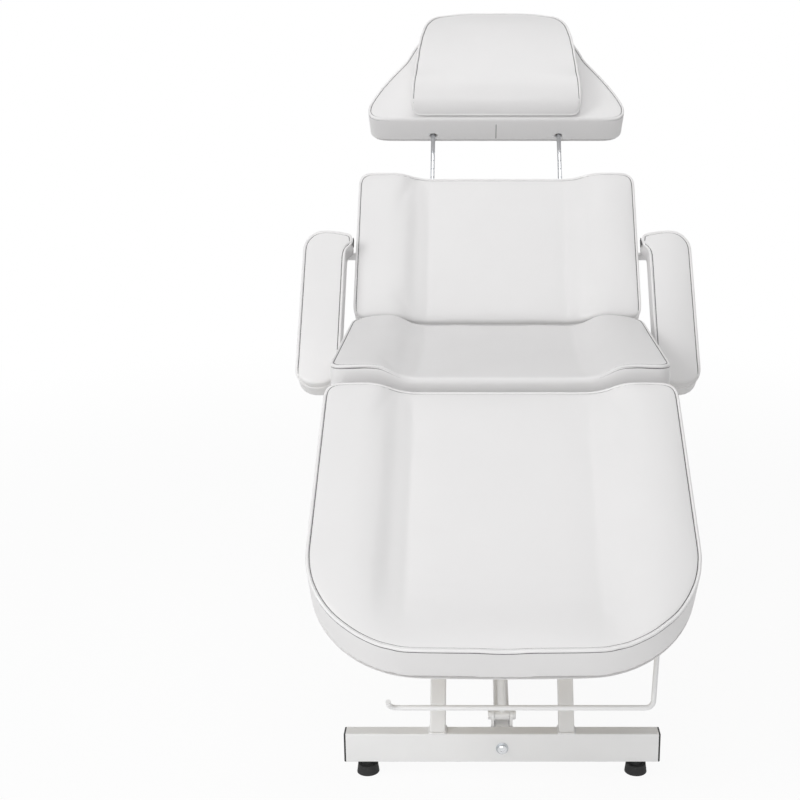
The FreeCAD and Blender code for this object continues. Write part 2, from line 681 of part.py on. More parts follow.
def strut(foot_pin, pin, pivot, angle, rod_length, sleeve_length):
    """Both halves of a strut between its foot pin and a section's pin, in the seated position."""
    top_pin = seated(pin, pivot, angle)
    direction = FreeCAD.Vector(0, top_pin[0] - foot_pin[0], top_pin[1] - foot_pin[1])
    window = slot_window(foot_pin, pin, pivot, angle)
    lower = along_strut(strut_rod_solid(rod_length), foot_pin, direction)
    upper = along_strut(strut_sleeve_solid(sleeve_length, window), top_pin, direction)
    return lower, upper


def headrest_section():
    """Headrest: its cushion and its board, lying flat."""
    start, end = HEAD_START, HEAD_START + HEAD_LENGTH
    half, top_half = HEAD_WIDTH / 2, HEAD_TOP_WIDTH / 2
    points = [(-half, start), (half, start), (half, start + HEAD_SHOULDER), (top_half, end), (-top_half, end),
              (-half, start + HEAD_SHOULDER)]
    radii = [HEAD_LOW_RADIUS, HEAD_LOW_RADIUS, HEAD_SHOULDER_RADIUS, HEAD_TOP_RADIUS, HEAD_TOP_RADIUS,
             HEAD_SHOULDER_RADIUS]
    outline = flat_outline(points, radii)
    return with_board(soften_rim(prism(outline, BOARD_UNDER, SEAT_TOP), RIM_FILLET, BOARD_TOP), outline)


def headrest_rod():
    """Right-hand rod with its row of notches, lying flat."""
    low = BACK_END - ROD_IN_BACK
    bar = rod(ROD_RADIUS, FreeCAD.Vector(ROD_OFFSET, low, ROD_LEVEL),
              FreeCAD.Vector(ROD_OFFSET, HEAD_START + ROD_IN_HEAD, ROD_LEVEL))
    grooves = []
    for index in range(ROD_NOTCH_COUNT):
        place = BACK_END + (index - 1) * ROD_NOTCH_SPACING
        start = FreeCAD.Vector(ROD_OFFSET, place, ROD_LEVEL)
        end = start + Y_AXIS * ROD_NOTCH_WIDTH
        core = rod(ROD_RADIUS - ROD_NOTCH_DEPTH, start, end)
        grooves.append(rod(ROD_RADIUS + OVERRUN, start, end).cut(core))
    return solid_of(bar.cut(grooves[0].multiFuse(grooves[1:])))


def headrest_socket():
    """Right-hand tube in the back that a headrest rod slides in, lying flat on the board."""
    low = FreeCAD.Vector(ROD_OFFSET, BACK_END - SOCKET_TOP_GAP - SOCKET_LENGTH, ROD_LEVEL)
    high = FreeCAD.Vector(ROD_OFFSET, BACK_END - SOCKET_TOP_GAP, ROD_LEVEL)
    bore = rod(ROD_RADIUS + RUNNING_GAP, low - Y_AXIS * OVERRUN, high + Y_AXIS * OVERRUN)
    return solid_of(rod(SOCKET_RADIUS, low, high).cut(bore))


def rod_saddle(y):
    """Clamp block that holds a rod down on the headrest board."""
    half = SADDLE_WIDTH / 2
    body = block((ROD_OFFSET - half, ROD_OFFSET + half), (y, y + SADDLE_LENGTH),
                 (BOARD_TOP, ROD_LEVEL + SOCKET_RADIUS))
    tops = [edge for edge in body.Edges if edge.BoundBox.ZMin > ROD_LEVEL and edge.BoundBox.XLength < half]
    body = body.makeFillet(SOCKET_RADIUS / 2, tops)
    bore = rod(ROD_RADIUS + RUNNING_GAP, FreeCAD.Vector(ROD_OFFSET, y - OVERRUN, ROD_LEVEL),
               FreeCAD.Vector(ROD_OFFSET, y + SADDLE_LENGTH + OVERRUN, ROD_LEVEL))
    return solid_of(body.cut(bore))


def saddle_places():
    """Where along the rod its two saddles stand."""
    first = HEAD_START + BOARD_INSET + SADDLE_LENGTH
    return [first, HEAD_START + ROD_IN_HEAD - 2 * SADDLE_LENGTH]


def rod_room():
    """Channels that the headrest's rods and saddles need in its cushion."""
    reach = SOCKET_RADIUS + SOFT_GAP
    bore = rod(reach, FreeCAD.Vector(ROD_OFFSET, HEAD_START - OVERRUN, ROD_LEVEL),
               FreeCAD.Vector(ROD_OFFSET, HEAD_START + ROD_IN_HEAD + SOFT_GAP, ROD_LEVEL))
    half = SADDLE_WIDTH / 2 + SOFT_GAP
    rooms = [block((ROD_OFFSET - half, ROD_OFFSET + half), (y - SOFT_GAP, y + SADDLE_LENGTH + SOFT_GAP),
                   (BOARD_TOP - OVERRUN, ROD_LEVEL + SOCKET_RADIUS + SOFT_GAP)) for y in saddle_places()]
    room = bore.multiFuse(rooms)
    return room.fuse(mirrored(room))


def socket_room():
    """Channels that the rod sockets need in the back cushion."""
    low = FreeCAD.Vector(ROD_OFFSET, BACK_END - SOCKET_LENGTH - OVERRUN, ROD_LEVEL)
    room = rod(SOCKET_RADIUS + SOFT_GAP, low, FreeCAD.Vector(ROD_OFFSET, BACK_END + OVERRUN, ROD_LEVEL))
    return room.fuse(mirrored(room))


def head_pillow():
    """Neck pillow, lying flat on the headrest: full at the neck and thinner towards the crown."""
    start = HEAD_START + PILLOW_INSET
    low = SEAT_TOP + SOFT_GAP

    def point(share):
        return FreeCAD.Vector(0, start + share[0] * PILLOW_LENGTH, low + share[1] * PILLOW_HEIGHT)
    roll = [point(share) for share in PILLOW_ROLL_SHARES]
    seam, spill = PILLOW_SEAM / PILLOW_HEIGHT, PILLOW_SPILL / PILLOW_LENGTH
    foot, foot_top = point((-spill, -seam)), point((-spill, seam))
    head, head_top = point((1 + spill, -seam)), point((1 + spill, seam))
    edges = [Part.Arc(foot_top, roll[0], roll[1]).toShape(), Part.Arc(roll[1], roll[2], roll[3]).toShape(),
             Part.Arc(roll[3], roll[4], head_top).toShape(), Part.makeLine(head_top, head),
             Part.makeLine(head, foot), Part.makeLine(foot, foot_top)]
    face = Part.Face(Part.Wire(edges))
    face.translate(X_AXIS * -PILLOW_WIDTH)
    half, top_half = PILLOW_WIDTH / 2, PILLOW_TOP_WIDTH / 2
    end = start + PILLOW_LENGTH
    points = [(-half, start), (half, start), (top_half, end), (-top_half, end)]
    outline = flat_outline(points, [PILLOW_LOW_RADIUS] * 2 + [PILLOW_TOP_RADIUS] * 2)
    roll_solid = face.extrude(X_AXIS * (2 * PILLOW_WIDTH))
    return solid_of(roll_solid.common(prism(outline, low, low + PILLOW_HEIGHT + OVERRUN)))


def armrest_pad():
    """Right-hand armrest pad, lying flat beside the back: a long crowned pad whose head hooks inwards."""
    hook = HALF_BED + ARM_HOOK_GAP
    low, high, hook_low = BACK_START + ARM_LOW, BACK_START + ARM_HIGH, BACK_START + ARM_HOOK_LOW
    points = [(ARM_INNER, low), (ARM_OUTER, low), (ARM_OUTER, high), (hook, high), (hook, hook_low),
              (ARM_INNER, hook_low - ARM_INNER_RADIUS)]
    radii = [ARM_LOW_RADIUS] * 2 + [ARM_HIGH_RADIUS] + [ARM_HOOK_RADIUS] * 2 + [ARM_INNER_RADIUS]
    blank = prism(flat_outline(points, radii), ARM_UNDER, ARM_TOP + ARM_CROWN + OVERRUN)
    middle = (hook + ARM_OUTER) / 2

    def point(x, z):
        return FreeCAD.Vector(x, low - OVERRUN, z)
    left, right = hook - OVERRUN, ARM_OUTER + OVERRUN
    sides = [point(right, ARM_TOP), point(right, ARM_UNDER), point(left, ARM_UNDER), point(left, ARM_TOP)]
    crown = Part.Arc(sides[-1], point(middle, ARM_TOP + ARM_CROWN), sides[0]).toShape()
    edges = [crown] + [Part.makeLine(sides[index], sides[index + 1]) for index in range(len(sides) - 1)]
    face = Part.Face(Part.Wire(edges))
    body = solid_of(face.extrude(Y_AXIS * (high - low + 2 * OVERRUN)).common(blank))
    return soften_rim(body, ARM_FILLET, ARM_UNDER + PLATE)


def armrest_bracket():
    """Steel plate under the armrest with the tube tenon that plugs into the back."""
    middle = (ARM_INNER + ARM_OUTER) / 2
    half = ARM_PLATE_WIDTH / 2
    sole = block((middle - half, middle + half), (TENON_Y - ARM_PLATE_LENGTH, TENON_Y + TENON_RADIUS),
                 (ARM_UNDER - PLATE, ARM_UNDER))
    inner = FreeCAD.Vector(HALF_BED - TENON_IN_SOCKET, TENON_Y, TENON_LEVEL)
    outer = FreeCAD.Vector(middle + half, TENON_Y, TENON_LEVEL)
    tenon = rod(TENON_RADIUS, inner, outer)
    bore = rod(TENON_RADIUS - TENON_WALL, inner - X_AXIS * OVERRUN, outer + X_AXIS * OVERRUN)
    saddle = block((middle - half, middle + half), (TENON_Y - TENON_RADIUS, TENON_Y + TENON_RADIUS),
                   (TENON_LEVEL, ARM_UNDER - PLATE))
    return solid_of(sole.multiFuse([saddle, tenon]).cut(bore).removeSplitter())


def armrest_socket():
    """Socket on the back board that the armrest's tenon plugs into."""
    start, end = HALF_BED - ARM_SOCKET_LENGTH, HALF_BED - SOFT_GAP
    radius = TENON_RADIUS + RUNNING_GAP + ARM_SOCKET_WALL
    tube = rod(radius, FreeCAD.Vector(start, TENON_Y, TENON_LEVEL), FreeCAD.Vector(end, TENON_Y, TENON_LEVEL))
    web_end = HALF_BED - BOARD_INSET
    web = block((start, web_end), (TENON_Y - ARM_SOCKET_WEB / 2, TENON_Y + ARM_SOCKET_WEB / 2),
                (BOARD_TOP, TENON_LEVEL))
    sole = block((start, web_end), (TENON_Y - ARM_SOCKET_FOOT / 2, TENON_Y + ARM_SOCKET_FOOT / 2),
                 (BOARD_TOP, BOARD_TOP + ARM_SOCKET_SOLE))
    bore = rod(TENON_RADIUS + RUNNING_GAP, FreeCAD.Vector(start - OVERRUN, TENON_Y, TENON_LEVEL),
               FreeCAD.Vector(end + OVERRUN, TENON_Y, TENON_LEVEL))
    return solid_of(tube.multiFuse([web, sole]).cut(bore).removeSplitter())


def armrest_room():
    """Room that the armrest sockets need in the back cushion."""
    radius = TENON_RADIUS + RUNNING_GAP + ARM_SOCKET_WALL + SOFT_GAP
    start = HALF_BED - ARM_SOCKET_LENGTH - SOFT_GAP
    tube = rod(radius, FreeCAD.Vector(start, TENON_Y, TENON_LEVEL),
               FreeCAD.Vector(HALF_BED + OVERRUN, TENON_Y, TENON_LEVEL))
    half = ARM_SOCKET_FOOT / 2 + SOFT_GAP
    slot = block((start, HALF_BED - BOARD_INSET + SOFT_GAP), (TENON_Y - half, TENON_Y + half),
                 (BOARD_TOP - OVERRUN, TENON_LEVEL))
    room = tube.fuse(slot)
    return room.fuse(mirrored(room))


def bent_rod(points, radius, bend):
    """Round wire through the points, with each corner bent to one radius."""
    edges = []
    last = points[0]
    for index in range(1, len(points) - 1):
        corner = points[index]
        back = (points[index - 1] - corner).normalize()
        ahead = (points[index + 1] - corner).normalize()
        half_turn = back.getAngle(ahead) / 2
        run = bend / math.tan(half_turn)
        centre = corner + (back + ahead).normalize() * (bend / math.sin(half_turn))
        edges.append(Part.makeLine(last, corner + back * run))
        edges.append(arc_about(centre, corner + back * run, corner + ahead * run))
        last = corner + ahead * run
    edges.append(Part.makeLine(last, points[-1]))
    first = (points[1] - points[0]).normalize()
    ring = Part.Wire(Part.makeCircle(radius, points[0], first))
    return Part.Wire(edges).makePipeShell([ring], True, False)


def roll_holder():
    """Paper roll holder, lying flat: a bent wire that is open at one end, and its fixing plate."""
    level = BOARD_UNDER - HOLDER_PLATE_THICKNESS
    low = BOARD_UNDER - HOLDER_DROP
    route = [(HOLDER_SIDE, HOLDER_ROOT, level), (HOLDER_SIDE, HOLDER_ROOT, level - HOLDER_NECK),
             (HOLDER_SIDE - HOLDER_SPINDLE_INSET, HOLDER_REACH, low), (-HOLDER_TIP, HOLDER_REACH, low),
             (-HOLDER_TIP, HOLDER_REACH, low + HOLDER_TIP_RISE)]
    wire = bent_rod([FreeCAD.Vector(*point) for point in route], HOLDER_RADIUS, HOLDER_BEND)
    half = HOLDER_PLATE / 2
    x_span = (HOLDER_SIDE - half, HOLDER_SIDE + half)
    sole = block(x_span, (HOLDER_ROOT - half, HOLDER_ROOT + half), (level, BOARD_UNDER))
    return wire, sole


def anchor_lugs(pin, low):
    """Lug plates on the two sides of a base tube, up to a strut's foot pin."""
    y, z = pin
    points = [(y - LUG_RADIUS, low), (y + LUG_RADIUS, low), (y + LUG_RADIUS, z + LUG_RADIUS),
              (y - LUG_RADIUS, z + LUG_RADIUS)]
    end_round = LUG_RADIUS - RUNNING_GAP
    return lug_pair(points, [RAIL_WALL, RAIL_WALL, end_round, end_round], pin)


def leg_lugs():
    """Lug plates on the leg section's strut rail, lying flat."""
    y, z = LEG_PIN
    face = y + LEG_PIN_RAIL_GAP
    points = [(y - LUG_RADIUS, z - LUG_RADIUS), (face, z - LUG_RADIUS), (face, z + LUG_RADIUS),
              (y - LUG_RADIUS, z + LUG_RADIUS)]
    end_round = LUG_RADIUS - RUNNING_GAP
    return lug_pair(points, [end_round, RUNNING_GAP, RUNNING_GAP, end_round], LEG_PIN)


def back_lugs():
    """Lug plates under the back's strut rail, lying flat."""
    y, z = BACK_PIN
    start = y - BACK_PIN_RAIL_GAP - RAIL
    points = [(start, RAIL_LOW), (y - LUG_RADIUS, z - LUG_RADIUS), (y + LUG_RADIUS, z - LUG_RADIUS),
              (y + LUG_RADIUS, RAIL_LOW)]
    end_round = LUG_RADIUS - RUNNING_GAP
    return lug_pair(points, [RUNNING_GAP, LUG_RADIUS / 2, end_round, RUNNING_GAP], BACK_PIN)


def base_pieces():
    """Floor base, legs, seat and the fixed halves of both hinges."""
    half = BAR_DEPTH / 2
    bars = [(FRONT_BAR, FRONT_BAR + BAR_DEPTH), (REAR_BAR - BAR_DEPTH, REAR_BAR)]
    middles = [(span[0] + span[1]) / 2 for span in bars]
    run = (bars[0][1], bars[1][0])
    foot_x = BAR_LENGTH / 2 - FOOT_INSET
    seat_rails = (SEAT_RAIL_FRONT, -SEAT_FRAME_INSET - RAIL)
    inner = RAIL_OFFSET - RAIL / 2
    cushion, board = plain_section(SEAT_FRONT, 0)
    front_leg = sloping_leg(middles[0], seat_rails[0] + RAIL / 2)
    rear_leg = sloping_leg(middles[1], seat_rails[1] + RAIL / 2)
    post_y = (BACK_FOOT_PIN[0] - half, BACK_FOOT_PIN[0] + half)
    inserts = [(run[0], run[0] + INSERT_LENGTH), (run[1] - INSERT_LENGTH, run[1])]
    return {
        "front_floor_bar": floor_bar(bars[0]),
        "rear_floor_bar": floor_bar(bars[1]),
        "base_stretcher": tube((-half, half), run, (FOOT_HEIGHT, BAR_TOP), 1),
        "stretcher_inserts": Part.makeCompound([stretcher_insert(span) for span in inserts]),
        "stretcher_bolts": Part.makeCompound([bar_bolt(bars[0][0], 1), bar_bolt(bars[1][1], -1)]),
        "bar_end_caps": Part.makeCompound([cap for span in bars for cap in pair(end_cap(span)).Solids]),
        "rubber_feet": Part.makeCompound([rubber_foot(x, y) for y in middles for x in (-foot_x, foot_x)]),
        "front_legs": pair(front_leg),
        "rear_legs": pair(rear_leg),
        "centre_post": tube((-half, half), post_y, (BAR_TOP, BACK_FOOT_PIN[1] - POST_TOP_DROP), 2),
        "leg_strut_anchor": anchor_lugs(LEG_FOOT_PIN, BAR_TOP - ANCHOR_REACH / 2),
        "back_strut_anchor": anchor_lugs(BACK_FOOT_PIN, BACK_FOOT_PIN[1] - POST_TOP_DROP - ANCHOR_REACH),
        "leg_strut_foot_pin": strut_pin(LEG_FOOT_PIN),
        "back_strut_foot_pin": strut_pin(BACK_FOOT_PIN),
        "seat_frame": Part.makeCompound(side_rails(SEAT_RAIL_FRONT + RAIL, seat_rails[1]) + [
            cross_rail(seat_rails[0], inner + RAIL), cross_rail(seat_rails[1], HINGE_RAIL_HALF)]),
        "seat_board": board,
        "seat_cushion": cushion,
        "leg_hinge_brackets": leg_hinges()[0],
        "leg_hinge_bolts": leg_hinges()[2],
        "back_hinge_brackets": back_hinges()[0],
        "back_hinge_bolts": back_hinges()[2],
    }


def back_pieces():
    """Backrest, lying flat."""
    cushion, board = plain_section(BACK_START, BACK_END)
    cushion = solid_of(cushion.cut(socket_room()).cut(armrest_room()))
    upper = BACK_END - BACK_RAIL_INSET - RAIL
    inner = RAIL_OFFSET - RAIL / 2
    rails = side_rails(BACK_FRAME_START + RAIL, upper) + [
        cross_rail(BACK_FRAME_START, HINGE_RAIL_HALF), cross_rail(upper, inner + RAIL),
        cross_rail(BACK_PIN[0] - BACK_PIN_RAIL_GAP - RAIL, inner)]
    return {
        "back_frame": Part.makeCompound(rails),
        "back_board": board,
        "back_cushion": cushion,
        "back_hinge_tabs": back_hinges()[1],
        "back_strut_lugs": back_lugs(),
        "back_strut_pin": strut_pin(BACK_PIN),
        "headrest_sockets": pair(headrest_socket()),
        "armrest_sockets": pair(armrest_socket()),
    }


def headrest_pieces():
    """Headrest on its rods, lying flat."""
    cushion, board = headrest_section()
    saddles = [saddle for y in saddle_places() for saddle in pair(rod_saddle(y)).Solids]
    return {
        "headrest_rods": pair(headrest_rod()),
        "headrest_saddles": Part.makeCompound(saddles),
        "headrest_board": board,
        "headrest_cushion": solid_of(cushion.cut(rod_room())),
        "head_pillow": head_pillow(),
    }


def armrest_pieces():
    """Both armrests, lying flat."""
    pad, bracket = armrest_pad(), armrest_bracket()
    return {
        "armrest_right_pad": pad,
        "armrest_right_bracket": bracket,
        "armrest_left_pad": mirrored(pad),
        "armrest_left_bracket": mirrored(bracket),
    }


def leg_pieces():
    """Leg section, lying flat."""
    cushion, board = leg_section()
    foot_rail = LEG_END + FOOT_RAIL_INSET - RAIL
    inner = RAIL_OFFSET - RAIL / 2
    rails = side_rails(foot_rail + RAIL, LEG_FRAME_START - RAIL) + [
        cross_rail(LEG_FRAME_START - RAIL, inner + RAIL), cross_rail(foot_rail, inner + RAIL),
        cross_rail(LEG_PIN[0] + LEG_PIN_RAIL_GAP, inner)]
    wire, sole = roll_holder()
    return {
        "leg_frame": Part.makeCompound(rails),
        "leg_board": board,
        "leg_cushion": cushion,
        "leg_hinge_tabs": leg_hinges()[1],
        "leg_strut_lugs": leg_lugs(),
        "leg_strut_pin": strut_pin(LEG_PIN),
        "paper_roll_holder": wire,
        "holder_plate": sole,
    }


def strut_pieces():
    """Both struts, in the seated position."""
    leg_rod, leg_sleeve = strut(LEG_FOOT_PIN, LEG_PIN, (LEG_PIVOT_Y, LEG_PIVOT_Z), LEG_ANGLE,
                                LEG_STRUT_ROD, LEG_STRUT_SLEEVE)
    back_rod, back_sleeve = strut(BACK_FOOT_PIN, BACK_PIN, (BACK_PIVOT_Y, BACK_PIVOT_Z), BACK_ANGLE,
                                  BACK_STRUT_ROD, BACK_STRUT_SLEEVE)
    return {
        "leg_strut_rod": leg_rod,
        "leg_strut_sleeve": leg_sleeve,
        "back_strut_rod": back_rod,
        "back_strut_sleeve": back_sleeve,
    }


def all_pieces():
    """Every piece in the seated position, by name."""
    pieces = base_pieces()
    for group in (back_pieces(), headrest_pieces(), armrest_pieces()):
        pieces.update({name: raised_back(shape) for name, shape in group.items()})
    pieces.update({name: dropped_leg(shape) for name, shape in leg_pieces().items()})
    pieces.update(strut_pieces())
    return pieces


def centring_shift(pieces):
    """How far along Y the whole bed moves so that its box is centred on the origin."""
    boxes = [shape.optimalBoundingBox(False) for shape in pieces.values()]
    return -(min(box.YMin for box in boxes) + max(box.YMax for box in boxes)) / 2


def main():
    """Build every piece and write one file for each."""
    os.makedirs("parts", exist_ok=True)
    pieces = all_pieces()
    shift = centring_shift(pieces)
    for name, shape in pieces.items():
        placed = shape.copy()
        placed.translate(Y_AXIS * shift)
        placed.exportStep(os.path.join("parts", name + ".step"))
    print("pieces", len(pieces), "shift", round(shift, 3))


if __name__ == "__main__":
    main()
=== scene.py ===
"""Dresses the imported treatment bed: upholstery, piping, welds, fastenings, finishes and a plain studio.

Lengths in fields and constants are millimetres unless a name says otherwise; meshes are in metres.
"""

import json
import logging
import math
from dataclasses import dataclass, field
from enum import Enum
from typing import Dict, List, Optional, Sequence, Tuple

import bmesh
import bpy
from mathutils import Matrix, Vector
from mathutils.bvhtree import BVHTree
from mathutils.geometry import convex_hull_2d
from mathutils.kdtree import KDTree

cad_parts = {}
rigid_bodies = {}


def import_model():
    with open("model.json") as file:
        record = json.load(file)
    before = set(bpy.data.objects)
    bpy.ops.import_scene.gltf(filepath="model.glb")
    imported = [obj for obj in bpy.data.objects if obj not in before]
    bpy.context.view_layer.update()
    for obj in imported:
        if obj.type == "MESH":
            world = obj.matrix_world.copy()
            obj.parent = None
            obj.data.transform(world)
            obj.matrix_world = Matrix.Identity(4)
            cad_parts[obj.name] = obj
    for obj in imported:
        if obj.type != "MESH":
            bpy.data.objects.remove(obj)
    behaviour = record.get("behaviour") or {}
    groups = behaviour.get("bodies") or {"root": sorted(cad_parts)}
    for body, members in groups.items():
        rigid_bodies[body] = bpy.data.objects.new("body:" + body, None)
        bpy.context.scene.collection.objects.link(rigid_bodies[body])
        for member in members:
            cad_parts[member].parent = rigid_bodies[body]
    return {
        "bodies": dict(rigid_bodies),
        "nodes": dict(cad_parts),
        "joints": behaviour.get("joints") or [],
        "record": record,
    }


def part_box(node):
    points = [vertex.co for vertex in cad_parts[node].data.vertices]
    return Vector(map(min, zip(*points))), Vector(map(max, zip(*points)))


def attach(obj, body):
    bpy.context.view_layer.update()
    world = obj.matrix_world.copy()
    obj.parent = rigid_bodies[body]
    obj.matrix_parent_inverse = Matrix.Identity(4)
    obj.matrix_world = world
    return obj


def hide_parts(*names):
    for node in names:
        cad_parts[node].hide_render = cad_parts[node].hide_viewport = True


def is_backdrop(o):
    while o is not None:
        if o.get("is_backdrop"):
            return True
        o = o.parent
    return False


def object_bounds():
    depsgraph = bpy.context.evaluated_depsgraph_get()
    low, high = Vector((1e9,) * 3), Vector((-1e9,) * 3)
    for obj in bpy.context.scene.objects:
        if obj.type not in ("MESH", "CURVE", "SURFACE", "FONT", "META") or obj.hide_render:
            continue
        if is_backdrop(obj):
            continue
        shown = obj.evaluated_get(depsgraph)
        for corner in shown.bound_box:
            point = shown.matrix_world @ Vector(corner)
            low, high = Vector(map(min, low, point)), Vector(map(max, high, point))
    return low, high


MM = 0.001
UP = Vector((0.0, 0.0, 1.0))
DOWN = Vector((0.0, 0.0, -1.0))
LOG = logging.getLogger("treatment_bed")


class Body(Enum):
    """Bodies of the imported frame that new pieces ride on."""

    BASE = "base"
    BACK = "backrest"
    HEAD = "headrest"
    ARM_LEFT = "armrest_left"
    ARM_RIGHT = "armrest_right"
    LEG = "leg_rest"
    LEG_SLEEVE = "leg_strut_sleeve"
    BACK_SLEEVE = "back_strut_sleeve"


class Slot(Enum):
    """Material slots of the record."""

    VINYL = "vinyl"
    FRAME = "frame"
    BOARD = "board"
    CHROME = "chrome"
    HARDWARE = "hardware"
    PLASTIC = "plastic"
    RUBBER = "rubber"


class Relief(Enum):
    """Surface relief that a finish was given when it was made."""

    PEBBLE = "closed cells of an embossing roller"
    PEEL = "soft waves of a baked powder"
    STREAK = "long lines of drawing or slicing"
    SPECK = "fine grain of a spark-eroded mould"


def linear(colour: str) -> Tuple[float, float, float, float]:
    """Turn an sRGB hex colour into linear light.

    Args:
        colour: Hex colour such as "#E9E8E8".

    Returns:
        Linear red, green, blue and an alpha of one.
    """
    channels = [int(colour[place:place + 2], 16) / 255 for place in (1, 3, 5)]
    light = [value / 12.92 if value <= 0.04045 else ((value + 0.055) / 1.055) ** 2.4 for value in channels]
    return light[0], light[1], light[2], 1.0


def add_node(tree: bpy.types.NodeTree, kind: str, settings: Optional[dict] = None,
             links: Optional[dict] = None) -> bpy.types.Node:
    """Add one node with its settings and its incoming links.

    Args:
        tree: Node tree to add to.
        kind: Blender's name of the node type.
        settings: Input values and attributes by name.
        links: Output sockets by the name of the input that they feed.

    Returns:
        The new node.
    """
    node = tree.nodes.new(kind)
    for key, value in (settings or {}).items():
        if key in node.inputs:
            node.inputs[key].default_value = value
        else:
            setattr(node, key, value)
    for key, source in (links or {}).items():
        tree.links.new(source, node.inputs[key])
    return node


@dataclass(frozen=True)
class Finish:
    """One real finish: its colours, its gloss and the relief left by the way it was made."""

    name: str
    light: str
    dark: str
    patch: float
    gloss: Tuple[float, float]
    relief: Relief
    grain: float
    depth: float
    strength: float
    metallic: float = 0.0
    ior: float = 1.5
    coat: float = 0.0
    sheen: float = 0.0
    stretch: Tuple[float, float, float] = (1.0, 1.0, 1.0)
    turn: float = 0.0

    def height(self, tree: bpy.types.NodeTree, place: bpy.types.NodeSocket) -> bpy.types.NodeSocket:
        """Add the relief's pattern.

        Args:
            tree: Node tree to add to.
            place: Socket with the coordinates.

        Returns:
            Socket with the height.
        """
        scale = 1 / (self.grain * MM)
        if self.relief is Relief.PEBBLE:
            cells = add_node(tree, "ShaderNodeTexVoronoi", {"feature": "DISTANCE_TO_EDGE", "Scale": scale},
                             {"Vector": place})
            return cells.outputs["Distance"]
        detail = {Relief.PEEL: 1.0, Relief.STREAK: 4.0, Relief.SPECK: 2.0}[self.relief]
        waves = add_node(tree, "ShaderNodeTexNoise", {"Scale": scale, "Detail": detail}, {"Vector": place})
        return waves.outputs["Fac"]

    def material(self) -> bpy.types.Material:
        """Build the finish's material on object coordinates."""
        material = bpy.data.materials.new(self.name)
        material.use_nodes = True
        tree = material.node_tree
        tree.nodes.clear()
        where = add_node(tree, "ShaderNodeTexCoord")
        place = add_node(tree, "ShaderNodeMapping", {"Rotation": (-self.turn, 0.0, 0.0), "Scale": self.stretch},
                         {"Vector": where.outputs["Object"]}).outputs["Vector"]
        patches = add_node(tree, "ShaderNodeTexNoise", {"Scale": 1 / (self.patch * MM), "Detail": 3.0},
                           {"Vector": place})
        colour = add_node(tree, "ShaderNodeValToRGB", {}, {"Fac": patches.outputs["Fac"]})
        for element, position, shade in zip(colour.color_ramp.elements, (0.32, 0.68), (self.dark, self.light)):
            element.position, element.color = position, linear(shade)
        rough = add_node(tree, "ShaderNodeMapRange", {"To Min": self.gloss[0], "To Max": self.gloss[1]},
                         {"Value": patches.outputs["Fac"]})
        bump = add_node(tree, "ShaderNodeBump", {"Strength": self.strength, "Distance": self.depth * MM},
                        {"Height": self.height(tree, place)})
        shader = add_node(tree, "ShaderNodeBsdfPrincipled",
                          {"Metallic": self.metallic, "IOR": self.ior, "Coat Weight": self.coat,
                           "Sheen Weight": self.sheen},
                          {"Base Color": colour.outputs["Color"], "Roughness": rough.outputs["Result"],
                           "Normal": bump.outputs["Normal"]})
        add_node(tree, "ShaderNodeOutputMaterial", {}, {"Surface": shader.outputs["BSDF"]})
        return material


# Soft PVC sheet on a knitted backing, calendered and embossed: an even white with a low satin sheen.
# The real pebbles are about 0.9 mm, too fine to show here, so they are drawn at 2.2 mm.
VINYL = Finish("upholstery_vinyl_embossed", "#EBEAEA", "#E9E8E8", 140.0, (0.40, 0.50), Relief.PEBBLE, 2.2, 0.35,
               0.10, ior=1.53, coat=0.06, sheen=0.04)
# The same sheet wrapped tight round a cord: the stretch flattens the pebbles, so it is a little glossier.
PIPING = Finish("piping_vinyl_stretched", "#F0EFEF", "#ECEBEB", 60.0, (0.34, 0.42), Relief.PEBBLE, 1.6, 0.2, 0.06,
                ior=1.53, coat=0.08)
# Painted shade of the creases beside the piping and along the band's upright seam: a broken dark grey line.
CREASE_SHADE = Finish("painted_crease_shade", "#7A787A", "#4E4C4F", 5.0, (0.70, 0.85), Relief.STREAK, 1.4, 0.3, 0.30)
# Polyester powder baked on steel tube: white, smooth, with the faint dimples of orange peel.
POWDER = Finish("powder_coat_white", "#F4F4F4", "#F0F0F0", 90.0, (0.30, 0.38), Relief.PEEL, 2.0, 0.15, 0.08)
# Nickel-chrome plate on drawn steel rod: mirror bright with faint handling haze.
CHROME = Finish("chrome_plate_bright", "#DADBDD", "#CBCDD0", 25.0, (0.07, 0.16), Relief.STREAK, 1.2, 0.05, 0.05,
                metallic=1.0)
# Bright zinc plate on turned steel: greyer than chrome and slightly cloudy.
ZINC = Finish("zinc_plate_clear", "#C3C6C9", "#A9ADB1", 8.0, (0.26, 0.40), Relief.STREAK, 1.0, 0.08, 0.12,
              metallic=1.0)
# Rotary-cut birch plywood, unsealed: straw colour with long darker figure along the sheet.
PLYWOOD = Finish("birch_plywood_raw", "#E2D6C0", "#CFBF9F", 14.0, (0.58, 0.72), Relief.STREAK, 1.2, 0.25, 0.35,
                 stretch=(1.0, 0.06, 1.0))
# Black polypropylene from a spark-eroded mould: dull sheen with a fine even grain.
PLASTIC = Finish("polypropylene_moulded_black", "#242426", "#19191B", 20.0, (0.42, 0.55), Relief.SPECK, 0.9, 0.2,
                 0.20, ior=1.49)
# Moulded black rubber: matt, with a slightly greyer bloom in patches.
RUBBER = Finish("rubber_moulded_black", "#262627", "#171718", 12.0, (0.70, 0.85), Relief.SPECK, 1.1, 0.3, 0.30,
                ior=1.52)


@dataclass
class Palette:
    """Materials of the bed, built once from their finishes."""

    made: Dict[str, bpy.types.Material] = field(default_factory=dict)

    def of(self, finish: Finish) -> bpy.types.Material:
        """Give the material of a finish, building it the first time.

        Args:
            finish: The finish to show.

        Returns:
            Its material.
        """
        if finish.name not in self.made:
            self.made[finish.name] = finish.material()
        return self.made[finish.name]


